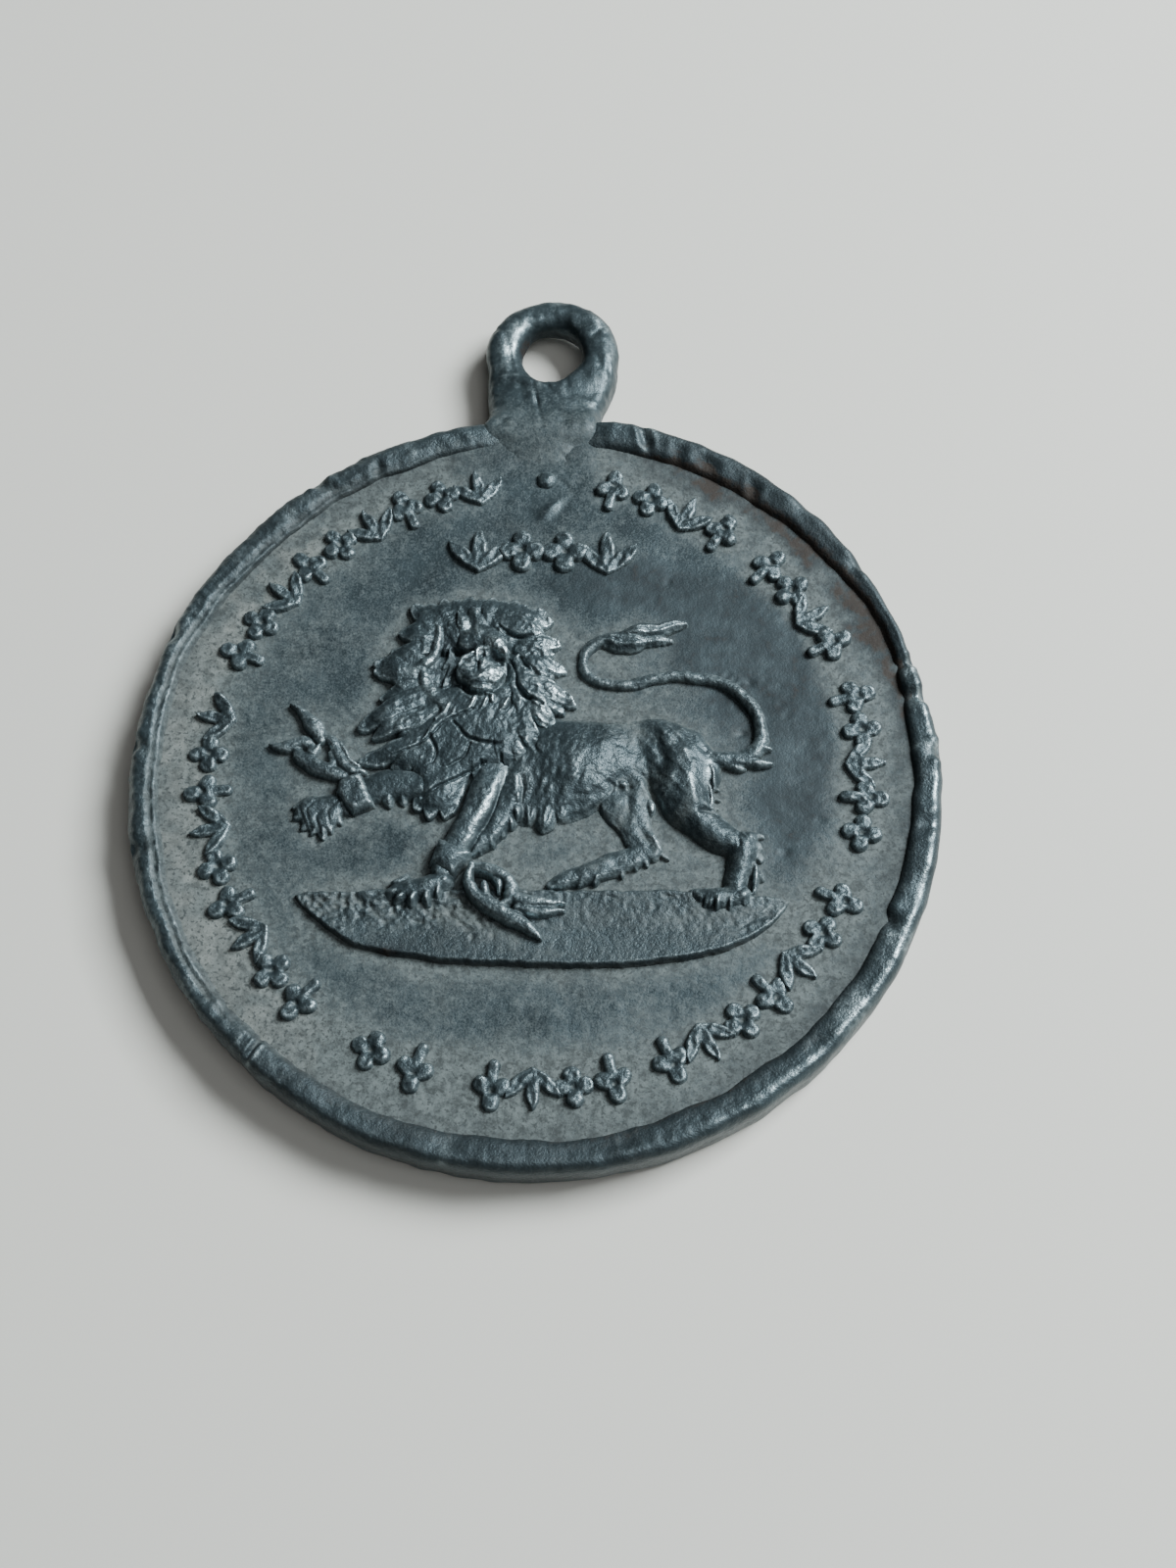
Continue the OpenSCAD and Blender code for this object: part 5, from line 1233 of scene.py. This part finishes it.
def rim(material):
    turn = (np.arange(RIM_AROUND) * 360 / RIM_AROUND - 180)[:, None]
    a = np.radians(turn)
    inner, outer = rim_edges(turn)
    base_r, base_z = rim_section()
    share = np.clip((base_r - RIM_INNER) / (RIM_OUTER - RIM_INNER), -0.3, 1.1)
    up = ease(1.7, 2.3, base_z)
    above = up * (share > -0.2)
    r = base_r + (outer - RIM_OUTER) * ease(0, 1, share) + (inner - RIM_INNER) * (ease(1, 0, share) * up)
    z = base_z + (0.05 * ring_noise(turn, 3.0, 5) + 0.04 * ring_noise(turn, 1.0, 6)) * up
    x, y = r * np.cos(a), r * np.sin(a)
    doubled = np.clip(ease(100, 125, turn) + ease(-125, -150, turn), 0, 1)
    z = z - 0.16 * doubled * np.exp(-(((r - inner - 0.34) / 0.11) ** 2)) * above
    across = np.clip((r - inner) / (outer - inner), 0, 1)
    inward, outward = columns(RIM_LEAN, turn)
    z = z - above * (inward * (1 - across) + outward * across)
    z = z + above * (0.024 + 0.012 * doubled) * rough(x, y, 0.9, 3, 3)
    beaten = ease(-160, -135, turn) * ease(-40, -65, turn)
    z = z + above * 0.022 * beaten * rough(x, y, 0.36, 6, 2)
    knocks = 0.03 * noise(x, y, 0.45, 5) + 0.03 * noise(x, y, 0.2, 7)
    z = z + above * (0.004 * noise(x, y, 0.26, 8) + doubled * knocks)
    side = ease(0.5, 1.0, share) * (base_z > 0.3)
    arc = a * RIM_MIDDLE + 50
    bulge = 0.03 * noise(arc, z + 9, 0.7, 4) + (0.01 + 0.03 * doubled) * noise(arc, z + 3, 0.3, 5)
    r, z = rim_dents(turn, r + bulge * side, z, side, above)
    vertices = np.stack([r * np.cos(a), r * np.sin(a), z], -1).reshape(-1, 3)
    values = (value.ravel() for value in rim_values(turn, r, z, inner, outer, above))
    make_piece("rim", vertices, grid_faces(RIM_AROUND, RIM_ACROSS, True).tolist(), material, *values)


def rim_values(turn, r, z, inner, outer, above):
    """Dust and brown stain at the foot of the inner wall, the stain on the right partly painted shade; bright
    edges and bruises, partly worn metal and partly painted highlights where the light glints; and a dark film
    on the top that is painted shade.
    """
    from_right = np.abs(turn)
    share = (r - inner) / (outer - inner)
    foot = ease(2.45, 2.1, z) * (share < 0.5)
    a = np.radians(turn)
    x, y = r * np.cos(a), r * np.sin(a)
    breaks = np.clip(0.5 + 0.9 * noise(x, y, 0.22, 2) + 0.5 * noise(x, y, 1.1, 7), 0, 1)
    dust = np.clip(foot * (0.2 + 0.6 * ease(90, 130, from_right)) + 0.08 * noise(x, y, 0.6, 6), 0, 1)
    bottom = ease(-150, -125, turn) * ease(-45, -75, turn)
    upper_right = ease(5, 30, turn) * ease(85, 65, turn)
    upper_left = ease(105, 115, turn) * ease(158, 145, turn)
    right = ease(-80, -50, turn) * ease(40, 20, turn)
    # painted highlight, partly real wear: a bright line of bare metal along the inner edge on the left, where
    # that edge faces the light
    inner_edge = 1.6 * np.exp(-(((share - 0.2) / 0.055) ** 2))
    inner_edge *= ease(118, 150, from_right) * (1 - 0.7 * bottom)
    # painted highlight: a thin pale band of bare metal along the outer crest, strongest at the lower right
    # where the light glints
    lit = 0.9 * ease(-75, -45, turn) * ease(24, 12, turn) + 0.1 * ease(20, 40, turn) * ease(100, 80, turn)
    outer_edge = np.exp(-(((share - 0.72) / 0.05) ** 2)) * (lit + 0.1)
    worn = above * (inner_edge + outer_edge) * breaks
    # bruises of bare metal, partly real and partly painted highlights where they glint
    for angle, width, strength in RIM_BRUISE_GLINTS:
        worn += above * strength * np.exp(-(((turn - angle) / width) ** 2)) * (0.5 + 0.6 * breaks)
    mottled = np.clip(noise(x, y, 0.3, 11) + 0.6 * noise(x, y, 0.15, 10), 0, 1)
    worn += 0.2 * above * mottled * ease(108, 130, from_right) * (share > 0.3)
    # painted shade, partly real brown stain: stain at the foot of the inner wall, strongest at the upper
    # right and right where that wall is in shade; then a dark film painted as shade over the top at the
    # bottom, upper right and upper left
    stain = foot * (0.3 + 0.7 * upper_right + 0.4 * right) * 0.9
    stain += above * (0.4 * bottom + 0.45 * upper_right + 0.35 * upper_left)
    return dust, np.clip(worn, 0, 1), np.clip(stain, 0, 1)


# The suspension loop
def loop_ring(x, y, z):
    """Distance to the loop's bent wire, negative inside."""
    px, py = x - LOOP_AT[0], y - LOOP_AT[1]
    mid, half_w, half_h = columns(WIRE, np.degrees(np.arctan2(py, px)))
    wide, high = (np.hypot(px, py) - mid) / half_w, (z - LOOP_AT[2]) / half_h
    return ((np.abs(wide) ** 2.6 + np.abs(high) ** 2.6) ** (1 / 2.6) - 1) * 0.75


def loop_plate(x, y, z):
    """Distance to the neck under the loop and its solder foot, negative inside."""
    left, right = columns(NECK, y)
    [crown] = columns(FOOT, y)
    share = np.clip(np.abs((x - (left + right) / 2) / ((right - left) / 2)), 0, 1.3)
    low = ease(16.2, 15.1, y)
    drop = 0.12 + 0.2 * ease(16.3, 17.2, y) + 0.44 * low
    top = crown - drop * share ** (5 - 2.6 * low)
    floor = 0.35 + 1.2 * ease(16.2, 15.4, y)
    plate = soft_max(np.maximum(left - x, x - right), (z - top) * 0.85, 0.5)
    plate = soft_max(plate, floor - z, 0.3)
    return soft_max(plate, np.maximum(13.5 - y, y - 19.6), 0.3)


def loop_bore(x, y, z):
    """Distance to the wall of the loop's jagged and flared hole, positive inside the hole."""
    hx, hy = x - HOLE_AT[0], y - HOLE_AT[1]
    turn = np.degrees(np.arctan2(hy, hx))
    [radius] = columns(HOLE, turn)
    jag = 0.07 * noise(hx, hy, 0.4, 2) * (turn > 90) + 0.03 * noise(hx, hy, 0.5, 6)
    flare = 0.32 * ((z - LOOP_AT[2]) / 0.8) ** 2
    return radius + jag + flare - np.hypot(hx, hy)


def loop_wear(x, y, z):
    """How deep the loop's skin is hammered and dented. The dents are on top alone."""
    hammered = 0.05 * rough3(x, y, z, 0.9, 3) + 0.035 * rough3(x, y, z, 0.34, 5)
    return hammered + ease(1.2, 1.7, z) * spots(x, y, LOOP_DENTS, np.add)


def loop_solid(x, y, z):
    """Distance to the loop with its neck and solder foot, negative inside."""
    solid = soft_min(loop_ring(x, y, z), loop_plate(x, y, z), 0.3)
    solid = soft_max(solid, loop_bore(x, y, z), 0.2)
    return solid + loop_wear(x, y, z) * (0.3 + 0.7 * ease(15.4, 16.8, y))


def surface_net(values, origin, step):
    """A closed mesh where values cross zero, with one vertex in each cell that the surface passes."""
    shape = np.array(values.shape) - 1

    def shifted(corner):
        return values[tuple(slice(k, k + s) for k, s in zip(corner, shape))]

    corners = [(i, j, k) for i in (0, 1) for j in (0, 1) for k in (0, 1)]
    inside = sum((shifted(c) < 0).astype(int) for c in corners)
    active = (inside > 0) & (inside < 8)
    total, count = np.zeros((*shape, 3)), np.zeros(shape)
    for c in corners:
        for axis in (k for k in range(3) if not c[k]):
            a, b = shifted(c), shifted(tuple(1 if k == axis else v for k, v in enumerate(c)))
            cross = (a < 0) != (b < 0)
            point = np.zeros((*shape, 3)) + np.array(c)
            point[..., axis] += np.where(cross, a / np.where(cross, a - b, 1), 0)
            total += point * cross[..., None]
            count += cross
    cells = np.argwhere(active)
    vertices = origin + step * (cells + total[active] / count[active][:, None])
    number = np.full(shape, -1)
    number[active] = np.arange(len(cells))
    faces = []
    for axis in range(3):
        a = values[tuple(slice(0, -1) if k == axis else slice(None) for k in range(3))]
        b = values[tuple(slice(1, None) if k == axis else slice(None) for k in range(3))]
        at = np.argwhere((a < 0) != (b < 0))
        e1, e2 = (np.eye(3, dtype=int)[k] for k in range(3) if k != axis)
        quad = np.stack([number[tuple((at - e).T)] for e in (e1 * 0, e1, e1 + e2, e2)], 1)
        flip = (a[tuple(at.T)] < 0) == (axis == 1)
        quad[flip] = quad[flip][:, ::-1]
        faces.append(quad)
    return vertices, np.vstack(faces)


def suspension_loop(material):
    origin = np.array(LOOP_GRID_FROM)
    axes = [start + LOOP_STEP * np.arange(count) for start, count in zip(origin, LOOP_GRID_COUNT)]
    vertices, faces = surface_net(loop_solid(*np.meshgrid(*axes, indexing="ij")), origin, LOOP_STEP)
    x, y, z = vertices.T
    blotch = noise(x, y, 0.5, 3)
    dust = np.clip(0.36 * ease(18.2, 15.6, y) + 0.06 * blotch, 0, 1)
    # rubbed places of the loop, partly wear and partly painted highlights where the light glints
    worn = 0.08 * blotch * ease(15.5, 17, y) + spots(x, y, RUBBED_GLINT_LOOP) * (0.9 + 0.6 * noise(x, y, 0.3, 5))
    worn = np.clip(worn, 0, 1) * ease(1.6, 2.2, z)
    from_hole = np.hypot(x - HOLE_AT[0], y - HOLE_AT[1])
    stain = 0.9 * ease(1.5, 1.3, from_hole) * ease(0.2, -0.8, x) * ease(19.6, 20.4, y)
    make_piece("suspension_loop", vertices, faces.tolist(), material, dust, worn, stain)


# Materials
def feed(tree, made, inputs):
    """Feeds a node's inputs with numbers, linear colours or the outputs of other nodes."""
    for key, value in inputs.items():
        if isinstance(value, bpy.types.NodeSocket):
            tree.links.new(value, made.inputs[key])
        else:
            made.inputs[key].default_value = (*value, 1) if isinstance(value, tuple) else value


def value_of(tree, name):
    made = tree.nodes.new("ShaderNodeAttribute")
    made.attribute_name = name
    return made.outputs["Fac"]


def texture(tree, coords, scale, detail=3.0, roughness=0.55):
    made = tree.nodes.new("ShaderNodeTexNoise")
    feed(tree, made, {"Vector": coords, "Scale": scale, "Detail": detail, "Roughness": roughness})
    return made.outputs["Fac"]


def ranged(tree, value, low, high, to_low, to_high):
    made = tree.nodes.new("ShaderNodeMapRange")
    limits = {"From Min": low, "From Max": high, "To Min": to_low, "To Max": to_high}
    feed(tree, made, {"Value": value, **limits})
    return made.outputs["Result"]


def maths(tree, kind, a, b):
    made = tree.nodes.new("ShaderNodeMath")
    made.operation = kind
    feed(tree, made, {0: a, 1: b})
    return made.outputs[0]


def mixed(tree, share, a, b):
    made = tree.nodes.new("ShaderNodeMix")
    made.data_type = "RGBA"
    feed(tree, made, {"Factor": share, "A": a, "B": b})
    return made.outputs["Result"]


def times(colour, share):
    return tuple(share * c for c in colour)


def dirt_colour(tree, coords):
    """Grey dust with dark flecks, paler where it is caked."""
    grime = ranged(tree, texture(tree, coords, GRIME_SCALE, 7.0, 0.8), 0.4, 0.58, 0.0, 1.0)
    loose = mixed(tree, grime, times(DUST, 0.5), times(DUST, 1.25))
    caked = mixed(tree, grime, times(CAKED, 0.55), CAKED)
    dirt = mixed(tree, ranged(tree, value_of(tree, "dust"), 1.0, 1.4, 0.0, 1.0), loose, caked)
    flecks = ranged(tree, texture(tree, coords, FLECK_SCALE, 2.0, 0.6), 0.55, 0.63, 0.0, 0.85)
    return mixed(tree, flecks, dirt, times(DUST, 0.4))


def pewter(name, speckle, skin):
    """Worn grey pewter: dark tarnish, bare bright crests partly painted as highlights, grey and caked dust,
    stain partly painted as shade, and cast grain.

    A low stain is a dark film and a high one is brown, and in places either stands for painted shade. speckle
    is how uneven the dust is, and skin the depth of the cast grain in metres.
    """
    material = bpy.data.materials.new(name)
    material.use_nodes = True
    tree = material.node_tree
    tree.nodes.clear()
    coords = tree.nodes.new("ShaderNodeTexCoord").outputs["Object"]
    fine, mid, broad = (texture(tree, coords, scale) for scale in GRAIN_SCALES)
    tarnish = mixed(tree, ranged(tree, broad, 0.3, 0.7, 0, 1), DARK_METAL, times(DARK_METAL, 1.7))
    broken = maths(tree, "MULTIPLY", ranged(tree, mid, 0.38, 0.58, 0.28, 1.0),
                   ranged(tree, fine, 0.36, 0.56, 0.5, 1.0))
    worn = maths(tree, "MULTIPLY", value_of(tree, "worn"), broken)
    # pale bare metal where worn, which on the rubbed places is partly painted highlight
    bare = mixed(tree, worn, tarnish, PALE_METAL)
    dust = maths(tree, "ADD", value_of(tree, "dust"), ranged(tree, fine, 0.35, 0.65, -speckle, speckle))
    dust = maths(tree, "ADD", dust, ranged(tree, mid, 0.3, 0.7, -0.15, 0.15))
    dust = ranged(tree, dust, 0.05, 0.85, 0.0, 1.0)
    stain = maths(tree, "MULTIPLY", value_of(tree, "stain"), ranged(tree, mid, 0.3, 0.7, 0.75, 1.2))
    # the dark film and the brown stain, which in places are painted shade
    stain_and_shade_colour = mixed(tree, ranged(tree, stain, 0.62, 0.9, 0.0, 1.0), FILM_AND_SHADE, STAIN_AND_SHADE)
    clean = mixed(tree, dust, bare, dirt_colour(tree, coords))
    metal = ranged(tree, worn, 0.0, 0.7, 0.6, 1.0)
    dull = ranged(tree, maths(tree, "MAXIMUM", dust, stain), 0.0, 1.0, 0.0, 0.35)
    roughness = maths(tree, "ADD", ranged(tree, worn, 0.0, 1.0, 0.38, 0.24),
                      ranged(tree, fine, 0.3, 0.7, -0.05, 0.08))
    bump = tree.nodes.new("ShaderNodeBump")
    grain = maths(tree, "ADD", maths(tree, "MULTIPLY", mid, 0.9), maths(tree, "MULTIPLY", fine, 0.55))
    feed(tree, bump, {"Strength": 0.8, "Distance": skin, "Height": grain})
    shader = tree.nodes.new("ShaderNodeBsdfPrincipled")
    feed(tree, shader, {
        "Base Color": mixed(tree, stain, clean, stain_and_shade_colour),
        "Metallic": maths(tree, "MULTIPLY", metal, ranged(tree, dust, 0.0, 0.9, 1.0, 0.0)),
        "Specular IOR Level": 0.3,
        "Roughness": maths(tree, "ADD", roughness, dull),
        "Normal": bump.outputs["Normal"],
    })
    out = tree.nodes.new("ShaderNodeOutputMaterial")
    feed(tree, out, {"Surface": shader.outputs["BSDF"]})
    return material


def floor_material():
    material = bpy.data.materials.new("floor")
    material.use_nodes = True
    tree = material.node_tree
    feed(tree, tree.nodes["Principled BSDF"], {"Base Color": FLOOR_COLOUR, "Roughness": 0.7})
    return material


# Camera, lights and floor
def add_camera():
    e, a, roll = (math.radians(v) for v in (ELEVATION, AZIMUTH, ROLL))
    back = Vector((math.sin(a) * math.cos(e), -math.cos(a) * math.cos(e), math.sin(e)))
    right = Vector((math.cos(a), math.sin(a), 0))
    up = back.cross(right)
    tilted_right = math.cos(roll) * right + math.sin(roll) * up
    tilted_up = math.cos(roll) * up - math.sin(roll) * right
    data = bpy.data.cameras.new("camera")
    data.lens = LENS
    data.sensor_width = SENSOR
    data.clip_start, data.clip_end = 0.001, 10
    camera = add_object("camera", data)
    turn = Matrix((tilted_right, tilted_up, back)).transposed().to_4x4()
    camera.matrix_world = Matrix.Translation((Vector(TARGET) + back * DISTANCE) * MM) @ turn
    bpy.context.scene.camera = camera


def add_lights():
    for name, place, wide, high, watts, colour in LIGHTS:
        data = bpy.data.lights.new(name, "AREA")
        data.shape = "RECTANGLE"
        data.size, data.size_y = wide * MM, high * MM
        data.energy, data.color = watts, colour
        light = add_object(name, data)
        light.location = Vector(place) * MM
        light.rotation_euler = (-Vector(place)).to_track_quat("-Z", "Y").to_euler()


def add_world():
    """Soft room light, brighter from the right than from the left."""
    world = bpy.data.worlds.new("room")
    world.use_nodes = True
    bpy.context.scene.world = world
    tree = world.node_tree
    direction = tree.nodes.new("ShaderNodeTexCoord").outputs["Generated"]
    split = tree.nodes.new("ShaderNodeSeparateXYZ")
    feed(tree, split, {0: direction})
    side = ranged(tree, split.outputs["X"], 0.1, 0.9, 0.0, 1.0)
    feed(tree, tree.nodes["Background"], {"Color": mixed(tree, side, ROOM_LEFT, ROOM_RIGHT), "Strength": 0.4})


def add_floor():
    mesh = bpy.data.meshes.new("floor")
    corners = [(-FLOOR_HALF, -FLOOR_HALF), (FLOOR_HALF, -FLOOR_HALF), (FLOOR_HALF, FLOOR_HALF),
               (-FLOOR_HALF, FLOOR_HALF)]
    mesh.from_pydata([(x, y, 0) for x, y in corners], [], [(0, 1, 2, 3)])
    mesh.materials.append(floor_material())
    piece = add_object("floor", mesh)
    piece.location.z = -0.00002


def build():
    relief = pewter("pewter_relief", 0.12, 0.00006)
    field = pewter("pewter_field", 0.16, 0.000025)
    sheets = [make(relief) for make in (lion_body, lion_head, broken_shackles, ground_strip)]
    disc(field, sheets, border_marks(relief))
    rim(relief)
    suspension_loop(field)


add_camera()
add_lights()
add_world()
add_floor()
build()
